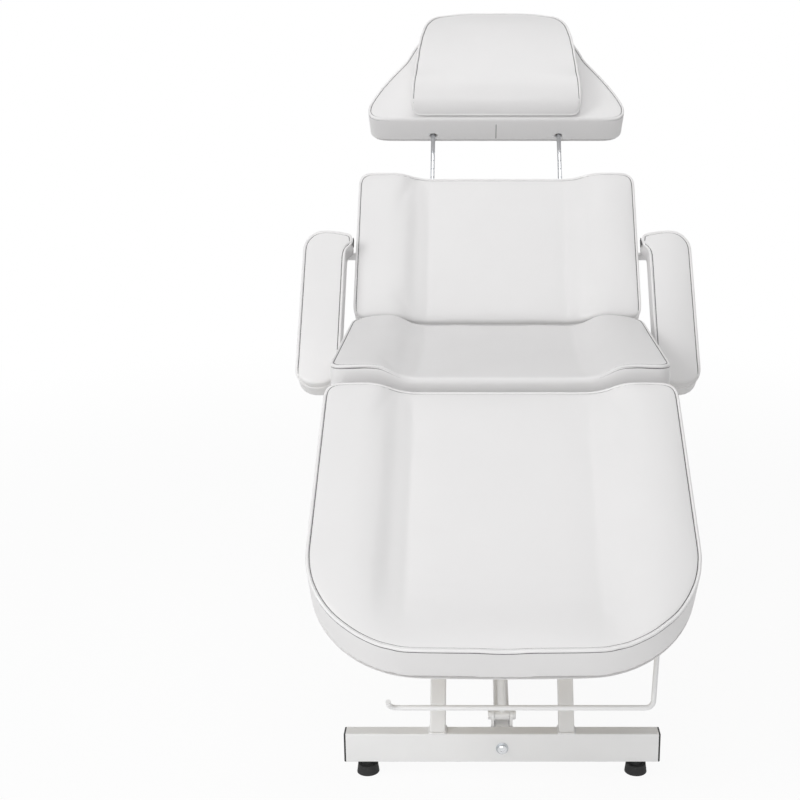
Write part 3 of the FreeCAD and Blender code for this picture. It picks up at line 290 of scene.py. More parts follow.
@dataclass(frozen=True)
class Hinge:
    """Turn of a section from lying flat to the seated position, about the line through its pivot along X."""

    pivot: Tuple[float, float, float] = (0.0, 0.0, 0.0)
    angle: float = 0.0

    @classmethod
    def of_joint(cls, joints: Sequence[dict], name: str) -> "Hinge":
        """Read a hinge from the frame.

        Args:
            joints: The frame's joints.
            name: Name of the hinge.

        Returns:
            The hinge, whose flat position is at the far limit.
        """
        joint = next(entry for entry in joints if entry["name"] == name)
        limit = max(abs(degrees) for degrees in joint["range_deg"])
        return cls(tuple(joint["pos_m"]), math.radians(limit))

    def seat(self) -> Matrix:
        """Matrix that takes the flat section to the seated position."""
        pivot = Matrix.Translation(self.pivot)
        return pivot @ Matrix.Rotation(self.angle, 4, "X") @ pivot.inverted()

    def flat(self) -> Matrix:
        """Matrix that lays the seated section flat."""
        return self.seat().inverted()


def only(*objects: bpy.types.Object) -> None:
    """Select these objects alone, the first one active."""
    bpy.ops.object.select_all(action="DESELECT")
    for thing in objects:
        thing.select_set(True)
    bpy.context.view_layer.objects.active = objects[0]


def new_object(name: str, data: bpy.types.ID) -> bpy.types.Object:
    """Put new data in the scene at the origin."""
    thing = bpy.data.objects.new(name, data)
    bpy.context.scene.collection.objects.link(thing)
    return thing


def modified(thing: bpy.types.Object, kind: str, **settings: object) -> None:
    """Add a modifier and apply it.

    Args:
        thing: Object to modify.
        kind: Blender's name of the modifier type.
        **settings: Its settings.
    """
    only(thing)
    modifier = thing.modifiers.new("step", kind)
    for key, value in settings.items():
        setattr(modifier, key, value)
    bpy.ops.object.modifier_apply(modifier=modifier.name)


def in_edit(thing: bpy.types.Object, *steps: Tuple[str, dict]) -> None:
    """Run mesh operators on the whole of one object in edit mode.

    Args:
        thing: Object to edit.
        *steps: Names of mesh operators and their settings, in order.
    """
    only(thing)
    bpy.ops.object.mode_set(mode="EDIT")
    bpy.ops.mesh.select_all(action="SELECT")
    for name, settings in steps:
        getattr(bpy.ops.mesh, name)(**settings)
    bpy.ops.object.mode_set(mode="OBJECT")


def select_faces(thing: bpy.types.Object, normal: Vector, least: float = 0.9) -> None:
    """Select, in object mode, only the faces that look one way.

    Args:
        thing: Object whose faces are selected.
        normal: Direction that they look.
        least: Least cosine of the angle between them.
    """
    mesh = thing.data
    mesh.vertices.foreach_set("select", [False] * len(mesh.vertices))
    mesh.edges.foreach_set("select", [False] * len(mesh.edges))
    for face in mesh.polygons:
        face.select = face.normal.dot(normal) > least


def settle(thing: bpy.types.Object, body: Body, material: bpy.types.Material,
           smooth: float = 35.0) -> bpy.types.Object:
    """Give a finished piece its shading, material and body.

    Args:
        thing: The piece, with its place in its mesh.
        body: Body that it rides on.
        material: Its material.
        smooth: Sharpest angle that is shaded smooth, in degrees.

    Returns:
        The piece.
    """
    only(thing)
    bpy.ops.object.shade_smooth_by_angle(angle=math.radians(smooth))
    thing.data.materials.clear()
    thing.data.materials.append(material)
    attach(thing, body.value)
    LOG.info("%s: %d faces on %s", thing.name, len(thing.data.polygons), body.value)
    return thing


def slice_loops(mesh: bpy.types.Mesh, level: float) -> List[List[Vector]]:
    """Cut a mesh level and chain the cut into loops, the longest first.

    Args:
        mesh: Mesh to cut; it stays as it is.
        level: Height of the cut, in metres.

    Returns:
        Closed loops of points.
    """
    cut_mesh = bmesh.new()
    cut_mesh.from_mesh(mesh)
    bmesh.ops.remove_doubles(cut_mesh, verts=cut_mesh.verts, dist=0.01 * MM)
    everything = cut_mesh.verts[:] + cut_mesh.edges[:] + cut_mesh.faces[:]
    cut = bmesh.ops.bisect_plane(cut_mesh, geom=everything, plane_co=(0, 0, level), plane_no=(0, 0, 1))["geom_cut"]
    links: Dict[bmesh.types.BMVert, list] = {}
    for edge in (part for part in cut if isinstance(part, bmesh.types.BMEdge)):
        first, second = edge.verts
        links.setdefault(first, []).append(second)
        links.setdefault(second, []).append(first)
    loops, seen = [], set()
    for start in links:
        loop, here = [], start
        while here is not None and here not in seen:
            seen.add(here)
            loop.append(here.co.copy())
            here = next((other for other in links[here] if other not in seen), None)
        if len(loop) > 2:
            loops.append(loop)
    cut_mesh.free()
    return sorted(loops, key=loop_length, reverse=True)


def loop_length(loop: Sequence[Vector]) -> float:
    """Length round a closed loop."""
    return sum((loop[index] - loop[index - 1]).length for index in range(len(loop)))


def resample(loop: Sequence[Vector], spacing: float) -> List[Vector]:
    """Space points evenly round a closed loop.

    Args:
        loop: Corners of the loop.
        spacing: Distance between new points, in metres.

    Returns:
        The new points.
    """
    total = loop_length(loop)
    count = max(8, round(total / spacing))
    points, walked, index = [], 0.0, 0
    here, ahead = loop[0], loop[1 % len(loop)]
    for number in range(count):
        target = total * number / count
        while walked + (ahead - here).length < target:
            walked += (ahead - here).length
            index += 1
            here, ahead = loop[index % len(loop)], loop[(index + 1) % len(loop)]
        span = (ahead - here).length
        points.append(here.lerp(ahead, (target - walked) / span if span > 0 else 0.0))
    return points


def outward(loop: Sequence[Vector]) -> List[Vector]:
    """Level outward directions at the points of a closed loop."""
    area = sum(loop[index - 1].x * loop[index].y - loop[index].x * loop[index - 1].y for index in range(len(loop)))
    turn = 1.0 if area > 0 else -1.0
    found = []
    for index in range(len(loop)):
        along = loop[(index + 1) % len(loop)] - loop[index - 1]
        found.append(Vector((along.y * turn, -along.x * turn, 0.0)).normalized())
    return found


def eased(loop: Sequence[Vector], rounds: int) -> List[Vector]:
    """Smooth a closed loop of points by averaging neighbours."""
    points = [point.copy() for point in loop]
    for _ in range(rounds):
        points = [(points[index - 1] + points[index] * 2 + points[(index + 1) % len(points)]) / 4
                  for index in range(len(points))]
    return points


def tube_along(name: str, points: Sequence[Vector], radius: float, widths: Optional[Sequence[float]] = None,
               closed: bool = True, sides: int = 2) -> bpy.types.Object:
    """Lay a round cord or bead along points and make it a mesh.

    Args:
        name: Name of the piece.
        points: Its middle line.
        radius: Its radius, in millimetres.
        widths: Share of the radius at each point.
        closed: Whether the last point joins the first.
        sides: Fineness of the round section.

    Returns:
        The tube, outward facing.
    """
    curve = bpy.data.curves.new(name, "CURVE")
    curve.dimensions = "3D"
    curve.bevel_depth = radius * MM
    curve.bevel_resolution = sides
    curve.use_fill_caps = not closed
    spline = curve.splines.new("POLY")
    spline.points.add(len(points) - 1)
    for index, point in enumerate(points):
        spline.points[index].co = (point.x, point.y, point.z, 1.0)
        spline.points[index].radius = widths[index] if widths else 1.0
    spline.use_cyclic_u = closed
    thing = new_object(name, curve)
    only(thing)
    bpy.ops.object.convert(target="MESH")
    thing = bpy.context.view_layer.objects.active
    in_edit(thing, ("remove_doubles", {"threshold": 0.01 * MM}), ("normals_make_consistent", {"inside": False}))
    return thing


def copied(name: str, model: bpy.types.Object, places: Sequence[Matrix]) -> bpy.types.Object:
    """Copy a modelled piece to several places, join the copies and remove the model.

    Args:
        name: Name of the joined piece.
        model: Piece modelled at the origin.
        places: Where the copies go.

    Returns:
        The joined copies.
    """
    made = []
    for place in places:
        mesh = model.data.copy()
        mesh.transform(place)
        made.append(new_object(name, mesh))
    bpy.data.objects.remove(model)
    only(*made)
    bpy.ops.object.join()
    joined = bpy.context.view_layer.objects.active
    joined.name = name
    return joined


def button_head(name: str, radius: float, height: float, socket: float) -> bpy.types.Object:
    """Model a domed screw head with a hexagon socket, standing on the origin along Z.

    Args:
        name: Name of the piece.
        radius: Radius of the head.
        height: Height of the head.
        socket: Radius of the socket's corners.

    Returns:
        The head.
    """
    bpy.ops.object.select_all(action="DESELECT")
    bpy.ops.mesh.primitive_cylinder_add(vertices=28, radius=radius * MM, depth=height * MM,
                                        location=(0, 0, height / 2 * MM))
    head = bpy.context.active_object
    head.name = name
    only(head)
    bpy.ops.object.transform_apply(location=True, rotation=True, scale=True)
    select_faces(head, UP)
    bpy.ops.object.mode_set(mode="EDIT")
    for step, drop in ((0.16, 0.22), (0.20, 0.14), (0.26, 0.06)):
        bpy.ops.mesh.inset(thickness=radius * step * MM, depth=height * drop * MM)
    bpy.ops.object.mode_set(mode="OBJECT")
    bpy.ops.object.select_all(action="DESELECT")
    bpy.ops.mesh.primitive_cylinder_add(vertices=6, radius=socket * MM, depth=2 * height * MM,
                                        location=(0, 0, (height * 1.42 + height * 0.55) * MM))
    cutter = bpy.context.active_object
    modified(head, "BOOLEAN", object=cutter, operation="DIFFERENCE", solver="EXACT")
    bpy.data.objects.remove(cutter)
    modified(head, "BEVEL", width=0.25 * MM, segments=2, limit_method="ANGLE", angle_limit=math.radians(40))
    return head


def plain_washer(name: str, radius: float, thickness: float) -> bpy.types.Object:
    """Model a flat washer, standing on the origin along Z, with a stamped edge.

    Args:
        name: Name of the piece.
        radius: Outer radius.
        thickness: Thickness.

    Returns:
        The washer.
    """
    bpy.ops.object.select_all(action="DESELECT")
    bpy.ops.mesh.primitive_cylinder_add(vertices=32, radius=radius * MM, depth=thickness * MM,
                                        location=(0, 0, thickness / 2 * MM))
    washer = bpy.context.active_object
    washer.name = name
    only(washer)
    bpy.ops.object.transform_apply(location=True, rotation=True, scale=True)
    select_faces(washer, UP)
    bpy.ops.object.mode_set(mode="EDIT")
    bpy.ops.mesh.inset(thickness=radius * 0.5 * MM, depth=0.0)
    bpy.ops.mesh.inset(thickness=radius * 0.05 * MM, depth=-thickness * 0.5 * MM)
    bpy.ops.object.mode_set(mode="OBJECT")
    modified(washer, "BEVEL", width=thickness * 0.25 * MM, segments=2, limit_method="ANGLE")
    return washer


@dataclass
class Upholstery:
    """A sewn cushion: foam under a vinyl cover that is held at its board and at its piped rim."""

    node: str
    body: Body
    hinge: Hinge
    voxel: float = 6.0
    shrink: float = 2.0
    swell: float = 4.0
    pressure: float = 4.0
    held_low: float = 14.0
    hooked: bool = False
    cut_share: float = 0.5
    rim_inset: float = 12.0
    front_drop: float = 0.0
    rounding: Tuple[float, float] = (0.0, 1.0)
    round_steps: int = 0
    bow: Tuple[float, float, float] = (0.0, 0.0, 0.5)
    draw_reach: float = 100.0
    soften: int = 3
    even_out: int = 0
    droop: float = 0.0
    rear_rise: float = 0.0
    tubes: str = ""
    tube_room: float = 0.6
    tube_lap: float = 10.0
    hook: Tuple[float, float, float, float, float] = (350.0, 302.5, 14.0, 0.42, 62.0)
    crest: float = 0.0
    fill: float = 0.7
    frames: int = 20
    rim_hold: float = 7.0
    glue_line: float = 0.0
    glue_width: float = 4.0
    settle_steps: int = 5
    cover: Optional[bpy.types.Object] = None
    outline: List[Vector] = field(default_factory=list)
    rim: List[Vector] = field(default_factory=list)

    def lay_flat(self, frame: dict) -> bpy.types.Object:
        """Copy the cushion's solid and lay it flat.

        Args:
            frame: The loaded frame.

        Returns:
            The flat copy.
        """
        form = new_object(self.node + "_form", frame["nodes"][self.node].data.copy())
        in_edit(form, ("remove_doubles", {"threshold": 0.01 * MM}))
        form.data.transform(self.hinge.flat())
        return form

    def find_rim(self, mesh: bpy.types.Mesh, outline: Sequence[Vector]) -> List[Vector]:
        """Find where the piping lies: the outer shoulder of the top, all round.

        Args:
            mesh: Flat mesh to lie on.
            outline: Points round the sides, level.

        Returns:
            Points on the mesh.
        """
        tree = BVHTree.FromPolygons([vertex.co for vertex in mesh.vertices],
                                    [face.vertices for face in mesh.polygons])
        ceiling = max(vertex.co.z for vertex in mesh.vertices) + 50 * MM
        found = []
        for point, out in zip(outline, outward(outline)):
            inside = point - out * (self.rim_inset * MM)
            top = tree.ray_cast(Vector((inside.x, inside.y, ceiling)), DOWN)[0]
            level = top.z if top else point.z
            reach = 6 * MM
            drop = self.front_drop * MM * max(0.0, -out.y)
            aim = Vector((point.x + out.x * reach, point.y + out.y * reach, level + reach - drop))
            found.append(tree.find_nearest(aim)[0])
        return eased(found, 2)

    def rounded(self) -> List[Vector]:
        """Round the outline between two shares of its length, as the sewn cover draws its corners in."""
        first, last = min(point.y for point in self.outline), max(point.y for point in self.outline)
        shares = [(point.y - first) / (last - first) for point in self.outline]
        points = self.outline
        for _ in range(self.round_steps):
            points = [new if self.rounding[0] <= share <= self.rounding[1] else old
                      for old, new, share in zip(points, eased(points, 1), shares)]
        full, hollow, turn = self.bow
        bowed = []
        for point, share in zip(points, shares):
            swing = full * math.sin(math.pi * share / turn) if share < turn else \
                -hollow * math.sin(math.pi * (share - turn) / (1 - turn))
            bowed.append(point + Vector((math.copysign(swing * MM, point.x), 0.0, 0.0)))
        return bowed

    def draw_in(self, cover: bpy.types.Object, outline: Sequence[Vector]) -> None:
        """Bring the cover's sides in to a rounder outline.

        Args:
            cover: Cover to draw in.
            outline: The rounder outline, point for point.
        """
        sides = KDTree(len(self.outline))
        for index, point in enumerate(self.outline):
            sides.insert((point.x, point.y, 0.0), index)
        sides.balance()
        for vertex in cover.data.vertices:
            _, index, away = sides.find((vertex.co.x, vertex.co.y, 0.0))
            share = max(0.0, 1.0 - away / (self.draw_reach * MM))
            vertex.co += (outline[index] - self.outline[index]) * share

    def even(self, cover: bpy.types.Object) -> None:
        """Even out the cover away from its rim, where no seam holds a crease, and let its far end droop.

        Args:
            cover: Cover to even out.
        """
        sides = KDTree(len(self.outline))
        for index, point in enumerate(self.outline):
            sides.insert((point.x, point.y, 0.0), index)
        sides.balance()
        group = cover.vertex_groups.new(name="field")
        for vertex in cover.data.vertices:
            away = sides.find((vertex.co.x, vertex.co.y, 0.0))[2] / MM
            group.add([vertex.index], max(0.0, min(1.0, (away - 8.0) / 30.0)), "REPLACE")
        modified(cover, "SMOOTH", factor=0.5, iterations=self.even_out, vertex_group=group.name)
        cover.vertex_groups.clear()
        first, last = min(point.y for point in self.outline), max(point.y for point in self.outline)
        for vertex in cover.data.vertices:
            share = max(0.0, (vertex.co.y - first) / (last - first) - 0.8) / 0.2
            vertex.co.z -= self.droop * MM * share * share

    def hook_place(self, place: Vector) -> Vector:
        """Slim a point of an armrest's hook towards the hook's middle, the more the nearer to its tip.

        Args:
            place: The point, lying flat.

        Returns:
            Its new place.
        """
        start, tip, depth, slimmer, fade = (value * MM for value in self.hook)
        share = max(0.0, min(1.0, (start - abs(place.x)) / (start - tip)))
        middle = self.crest - depth
        near = max(0.0, min(1.0, (place.y - middle + fade) / (fade / 2)))
        return Vector((place.x, place.y + (middle - place.y) * slimmer / MM * share * near, place.z))

    def taper_hook(self, cover: bpy.types.Object) -> None:
        """Slim the hook of an armrest's cover towards its tip."""
        for vertex in cover.data.vertices:
            vertex.co = self.hook_place(vertex.co)

    def rise(self, cover: bpy.types.Object, frame: dict) -> None:
        """Push the rear of the lane up to the backrest, which squeezes the foam there.

        Args:
            cover: The seat's cover.
            frame: The loaded frame.
        """
        above = frame["nodes"]["back_cushion"].data
        tree = BVHTree.FromPolygons([vertex.co for vertex in above.vertices],
                                    [face.vertices for face in above.polygons])
        places = [vertex.co for vertex in cover.data.vertices]
        low, high = min(place.z for place in places), max(place.z for place in places)
        first, last = min(place.y for place in places), max(place.y for place in places)
        half = max(place.x for place in places)
        for place in places:
            share = max(0.0, (place.y - first) / (last - first) - 0.55) / 0.45
            lane = max(0.0, 1.0 - abs(place.x / half) ** 3)
            rise = self.rear_rise * MM * share * share * (3 - 2 * share) * lane * (place.z - low) / (high - low)
            room = tree.ray_cast(place, UP)[3]
            place.z += min(rise, max(0.0, room - 2 * MM)) if room is not None else rise

    def cut_channels(self, cover: bpy.types.Object, frame: dict) -> None:
        """Cut the channels of the pair of tubes that run into the cushion's end, which remeshing has narrowed.

        Args:
            cover: Cover to cut.
            frame: The loaded frame.
        """
        places = [self.hinge.flat() @ vertex.co for vertex in frame["nodes"][self.tubes].data.vertices]
        first, last = min(place.y for place in places), max(place.y for place in places)
        for side in (-1, 1):
            across = [place.x for place in places if place.x * side > 0]
            levels = [place.z for place in places if place.x * side > 0]
            middle = ((min(across) + max(across)) / 2, (first + last) / 2, (min(levels) + max(levels)) / 2)
            bpy.ops.object.select_all(action="DESELECT")
            bpy.ops.mesh.primitive_cylinder_add(vertices=32, depth=last - first + 2 * self.tube_lap * MM, location=middle,
                                                radius=(max(across) - min(across)) / 2 + self.tube_room * MM,
                                                rotation=(math.pi / 2, 0.0, 0.0))
            cutter = bpy.context.active_object
            modified(cover, "BOOLEAN", object=cutter, operation="DIFFERENCE", solver="EXACT")
            bpy.data.objects.remove(cutter)

    def build(self, frame: dict) -> None:
        """Model the cover: remesh the flat form, pump it up between its seams and smooth it.

        Args:
            frame: The loaded frame.
        """
        form = self.lay_flat(frame)
        low = min(vertex.co.z for vertex in form.data.vertices)
        high = max(vertex.co.z for vertex in form.data.vertices)
        if self.hooked:
            loop = slice_loops(form.data, low + (high - low) * self.cut_share)[0]
        else:
            spots = [vertex.co.xy for vertex in form.data.vertices]
            loop = [spots[index].to_3d() for index in convex_hull_2d(spots)]
        self.outline = eased(resample(loop, 6 * MM), 2)
        if self.hooked:
            self.crest = max(point.y for point in self.outline)
            self.outline = [self.hook_place(point) for point in self.outline]
        self.rim = self.find_rim(form.data, self.outline)
        cover = new_object(self.node + "_cover", form.data.copy())
        modified(cover, "REMESH", mode="VOXEL", voxel_size=self.voxel * MM)
        modified(cover, "SMOOTH", factor=0.5, iterations=self.soften)
        modified(cover, "SHRINKWRAP", target=form, wrap_method="NEAREST_SURFACEPOINT")
        if self.rear_rise:
            self.rise(cover, frame)
        if self.hooked:
            self.taper_hook(cover)
        if self.round_steps:
            outline = self.rounded()
            self.draw_in(cover, outline)
            self.outline = outline
            modified(cover, "SMOOTH", factor=0.5, iterations=self.soften)
            self.even(cover)
            self.rim = self.find_rim(cover.data, self.outline)
        modified(cover, "SMOOTH", factor=0.5, iterations=2)
        modified(cover, "DISPLACE", strength=-self.shrink * MM, mid_level=0.0)
        self.pump(cover, low)
        modified(cover, "SUBSURF", levels=1, render_levels=1)
        modified(cover, "SMOOTH", factor=0.4, iterations=2)
        if self.tubes:
            self.cut_channels(cover, frame)
        bpy.data.objects.remove(form)
        self.rim = self.find_rim(cover.data, self.outline)
        self.cover = cover

    def pump(self, cover: bpy.types.Object, low: float) -> None:
        """Let air pressure fill the cover where it isn't sewn or stapled.

        Args:
            cover: Cover to fill.
            low: Level of the underside, in metres.
        """
        before = [vertex.co.copy() for vertex in cover.data.vertices]
        seams = KDTree(len(self.rim))
        for index, point in enumerate(self.rim):
            seams.insert(point, index)
        seams.balance()
        held = [index for index, place in enumerate(before)
                if place.z < low + self.held_low * MM or seams.find(place)[2] < self.rim_hold * MM
                or (self.glue_line and abs(abs(place.x) - self.glue_line * MM) < self.glue_width * MM)]
        cover.vertex_groups.new(name="sewn").add(held, 1.0, "REPLACE")
        only(cover)
        cloth = cover.modifiers.new("air", "CLOTH")
        cloth.settings.vertex_group_mass = "sewn"
        cloth.settings.quality = 5
        cloth.settings.mass = 0.3
        cloth.settings.tension_stiffness = 12.0
        cloth.settings.compression_stiffness = 12.0
        cloth.settings.shear_stiffness = 5.0
        cloth.settings.bending_stiffness = 2.0
        cloth.settings.use_pressure = True
        cloth.settings.uniform_pressure_force = self.pressure
        cloth.settings.effector_weights.gravity = 0.0
        cloth.collision_settings.use_collision = False
        cloth.point_cache.frame_start, cloth.point_cache.frame_end = 1, self.frames
        for number in range(1, self.frames + 1):
            bpy.context.scene.frame_set(number)
        bpy.ops.object.modifier_apply(modifier=cloth.name)
        bpy.context.scene.frame_set(1)
        limit = self.swell * MM
        for vertex, place in zip(cover.data.vertices, before):
            move = vertex.co - place
            if move.length > 0:
                vertex.co = place + move * (limit * math.tanh(move.length / limit) / move.length)
        loose = cover.vertex_groups.new(name="loose")
        loose.add(sorted(set(range(len(before))) - set(held)), 1.0, "REPLACE")
        modified(cover, "SMOOTH", factor=0.5, iterations=self.settle_steps, vertex_group=loose.name)
        cover.vertex_groups.clear()

    def dress(self, palette: Palette) -> None:
        """Seat the cover and put it in place of the solid.

        Args:
            palette: Materials of the bed.
        """
        self.cover.data.transform(self.hinge.seat())
        settle(self.cover, self.body, palette.of(VINYL), smooth=180.0)
        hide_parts(self.node)


@dataclass
class Welting:
    """Piping of one cushion: the covered cord on its rim, with dark lines of painted crease shade on both sides of
    it.
    """

    cushion: Upholstery
    cord_radius: float = 2.8
    shade_radius: float = 0.75
    shade_step: float = 3.4
    least_shade: float = 0.22
    gap: float = 0.0
    taper: float = 70.0
    join: bool = False

    def run(self) -> List[int]:
        """Number the rim's points from one end of the piping to the other, leaving out the gap at the front."""
        rim = self.cushion.rim
        hidden = [abs(point.x) < self.gap * MM and aside.y < -0.7 for point, aside in zip(rim, outward(rim))]
        if not any(hidden):
            return list(range(len(rim)))
        first = next(index for index in range(len(rim)) if hidden[index - 1] and not hidden[index])
        around = [(first + step) % len(rim) for step in range(len(rim))]
        return [index for index in around if not hidden[index]]

    def build(self, palette: Palette) -> None:
        """Lay the cord and the painted crease shade beside it on the finished cover.

        Args:
            palette: Materials of the bed.
        """
        cushion = self.cushion
        mesh = cushion.cover.data
        tree = BVHTree.FromPolygons([vertex.co for vertex in mesh.vertices],
                                    [face.vertices for face in mesh.polygons])
        order = self.run()
        closed = len(order) == len(cushion.rim)
        every_way = outward(cushion.rim)
        rim, out = [cushion.rim[index] for index in order], [every_way[index] for index in order]
        last = len(rim) - 1
        spacing = loop_length(cushion.rim) / len(cushion.rim)
        full = [1.0 if closed else max(0.12, min(1.0, min(index, last - index) * spacing / (self.taper * MM)))
                for index in range(len(rim))]
        cord = tube_along(cushion.node + "_piping", rim, self.cord_radius, widths=full, closed=closed, sides=3)
        step = self.shade_step * MM
        inner = [tree.find_nearest(point - aside * step + UP * (0.5 * step))[0] for point, aside in zip(rim, out)]
        outer = [tree.find_nearest(point - UP * step + aside * (0.5 * step))[0] for point, aside in zip(rim, out)]
        # The painted crease shade is widest on the inner line along the sides and on the outer line at the front
        # end, where the shade falls most.
        rest = 1 - self.least_shade
        sides = [share * (self.least_shade + rest * abs(aside.x)) for share, aside in zip(full, out)]
        ends = [share * (self.least_shade + rest * max(0.0, -aside.y)) for share, aside in zip(full, out)]
        pieces = [(cord, PIPING)]
        for name, points, widths in (("inner", inner, sides), ("outer", outer, ends)):
            line = eased(points, 1) if closed else points
            pieces.append((tube_along(cushion.node + "_crease_shade_" + name, line, self.shade_radius, widths=widths,
                                      closed=closed, sides=1), CREASE_SHADE))
        if self.join:
            pieces.append((self.band_seam_shade(tree), CREASE_SHADE))
        for piece, finish in pieces:
            piece.data.transform(cushion.hinge.seat())
            settle(piece, cushion.body, palette.of(finish), smooth=180.0)

    def band_seam_shade(self, tree: BVHTree) -> bpy.types.Object:
        """Draw the painted shade of the upright seam that closes the side band at the middle of the front.

        Args:
            tree: Faces of the cover, lying flat.

        Returns:
            The seam's painted shade line, lying flat.
        """
        cushion = self.cushion
        front = min(point.y for point in cushion.rim) - 100 * MM
        high = min(cushion.rim, key=lambda point: abs(point.x) + point.y).z
        low = min(vertex.co.z for vertex in cushion.cover.data.vertices)
        levels = [low + (high - low) * share / 10 for share in range(1, 9)]
        points = [tree.ray_cast(Vector((0, front, level)), Vector((0, 1, 0)))[0] for level in levels]
        return tube_along(cushion.node + "_band_seam_shade", points, self.shade_radius, closed=False, sides=1)


@dataclass
class Underside:
    """Back of a boarded section: the cover's turned-in margin, its staples and the screws that hold the frame."""

    cushion: Upholstery
    board: str
    frame_node: Optional[str] = None
    margin: float = 34.0
    sheet: float = 0.9
    staple_gap: float = 42.0
    staple_inset: float = 22.0
    staple: Tuple[float, float, float] = (11.0, 1.3, 0.9)
    screw_radius: float = 4.6
    screw_height: float = 2.6

    def turned_in(self, low: float) -> bpy.types.Object:
        """Model the margin of the cover that is folded over the board's back.

        Args:
            low: Level of the board's back, in metres.

        Returns:
            The margin, lying flat.
        """
        outline = eased(resample(self.cushion.outline, 14 * MM), 1)
        count = len(outline)
        ring = []
        for share in (2.0, self.margin):
            ring += [point - aside * (share * MM) for point, aside in zip(outline, outward(outline))]
        wave = [0.12 * math.sin(index * 1.9) for index in range(count)]
        points = [(point.x, point.y, low - (self.sheet * (0.35 + wave[index % count])) * MM)
                  for index, point in enumerate(ring)]
        faces = [(index, (index + 1) % count, count + (index + 1) % count, count + index) for index in range(count)]
        mesh = bpy.data.meshes.new(self.board + "_turn_in")
        mesh.from_pydata(points, [], faces)
        margin = new_object(self.board + "_turn_in", mesh)
        in_edit(margin, ("normals_make_consistent", {"inside": False}))
        modified(margin, "SOLIDIFY", thickness=self.sheet * MM, offset=0.0)
        modified(margin, "BEVEL", width=0.25 * MM, segments=1, limit_method="ANGLE")
        return margin

    def staples(self, low: float) -> bpy.types.Object:
        """Model one staple crown and drive it all round the margin.

        Args:
            low: Level of the board's back, in metres.

        Returns:
            The staples, lying flat.
        """
        long, wide, high = self.staple
        bpy.ops.object.select_all(action="DESELECT")
        bpy.ops.mesh.primitive_cube_add(size=1.0)
        model = bpy.context.active_object
        model.scale = (long * MM, wide * MM, high * MM)
        only(model)
        bpy.ops.object.transform_apply(location=True, rotation=True, scale=True)
        modified(model, "BEVEL", width=0.3 * MM, segments=1, limit_method="ANGLE")
        outline = resample(self.cushion.outline, self.staple_gap * MM)
        places = []
        for index, (point, aside) in enumerate(zip(outline, outward(outline))):
            lean = math.radians(4.0 * math.sin(index * 2.3))
            spot = point - aside * (self.staple_inset * MM)
            turn = Matrix.Rotation(math.atan2(aside.y, aside.x) + math.pi / 2 + lean, 4, "Z")
            places.append(Matrix.Translation((spot.x, spot.y, low - self.sheet * MM)) @ turn)
        return copied(self.board + "_staples", model, places)

    def screws(self, frame: dict) -> bpy.types.Object:
        """Model one button-head screw and drive it up through the section's rails.

        Args:
            frame: The loaded frame.

        Returns:
            The screws, lying flat.
        """
        rails = frame["nodes"][self.frame_node].data.copy()
        rails.transform(self.cushion.hinge.flat())
        low = min(vertex.co.z for vertex in rails.vertices)
        flat = [vertex.co for vertex in rails.vertices]
        first, last = min(place.y for place in flat), max(place.y for place in flat)
        middle = (first + last) / 2
        side = max(place.x for place in flat if abs(place.y - middle) < (last - first) / 2) - 12.5 * MM
        head = button_head(self.frame_node + "_screws", self.screw_radius, self.screw_height, 1.9)
        upside = Matrix.Rotation(math.pi, 4, "X")
        places = [Matrix.Translation((sign * side, first + (last - first) * share, low)) @ upside
                  for sign in (-1, 1) for share in (0.24, 0.5, 0.76)]
        bpy.data.meshes.remove(rails)
        return copied(self.frame_node + "_screws", head, places)

    def build(self, frame: dict, palette: Palette) -> None:
        """Build and dress the section's back.

        Args:
            frame: The loaded frame.
            palette: Materials of the bed.
        """
        board = frame["nodes"][self.board].data.copy()
        board.transform(self.cushion.hinge.flat())
        low = min(vertex.co.z for vertex in board.vertices)
        bpy.data.meshes.remove(board)
        pieces = [(self.turned_in(low), Slot.VINYL, VINYL), (self.staples(low), Slot.HARDWARE, ZINC)]
        if self.frame_node:
            pieces.append((self.screws(frame), Slot.HARDWARE, ZINC))
        for piece, slot, finish in pieces:
            piece.data.transform(self.cushion.hinge.seat())
            settle(piece, self.cushion.body, palette.of(finish))


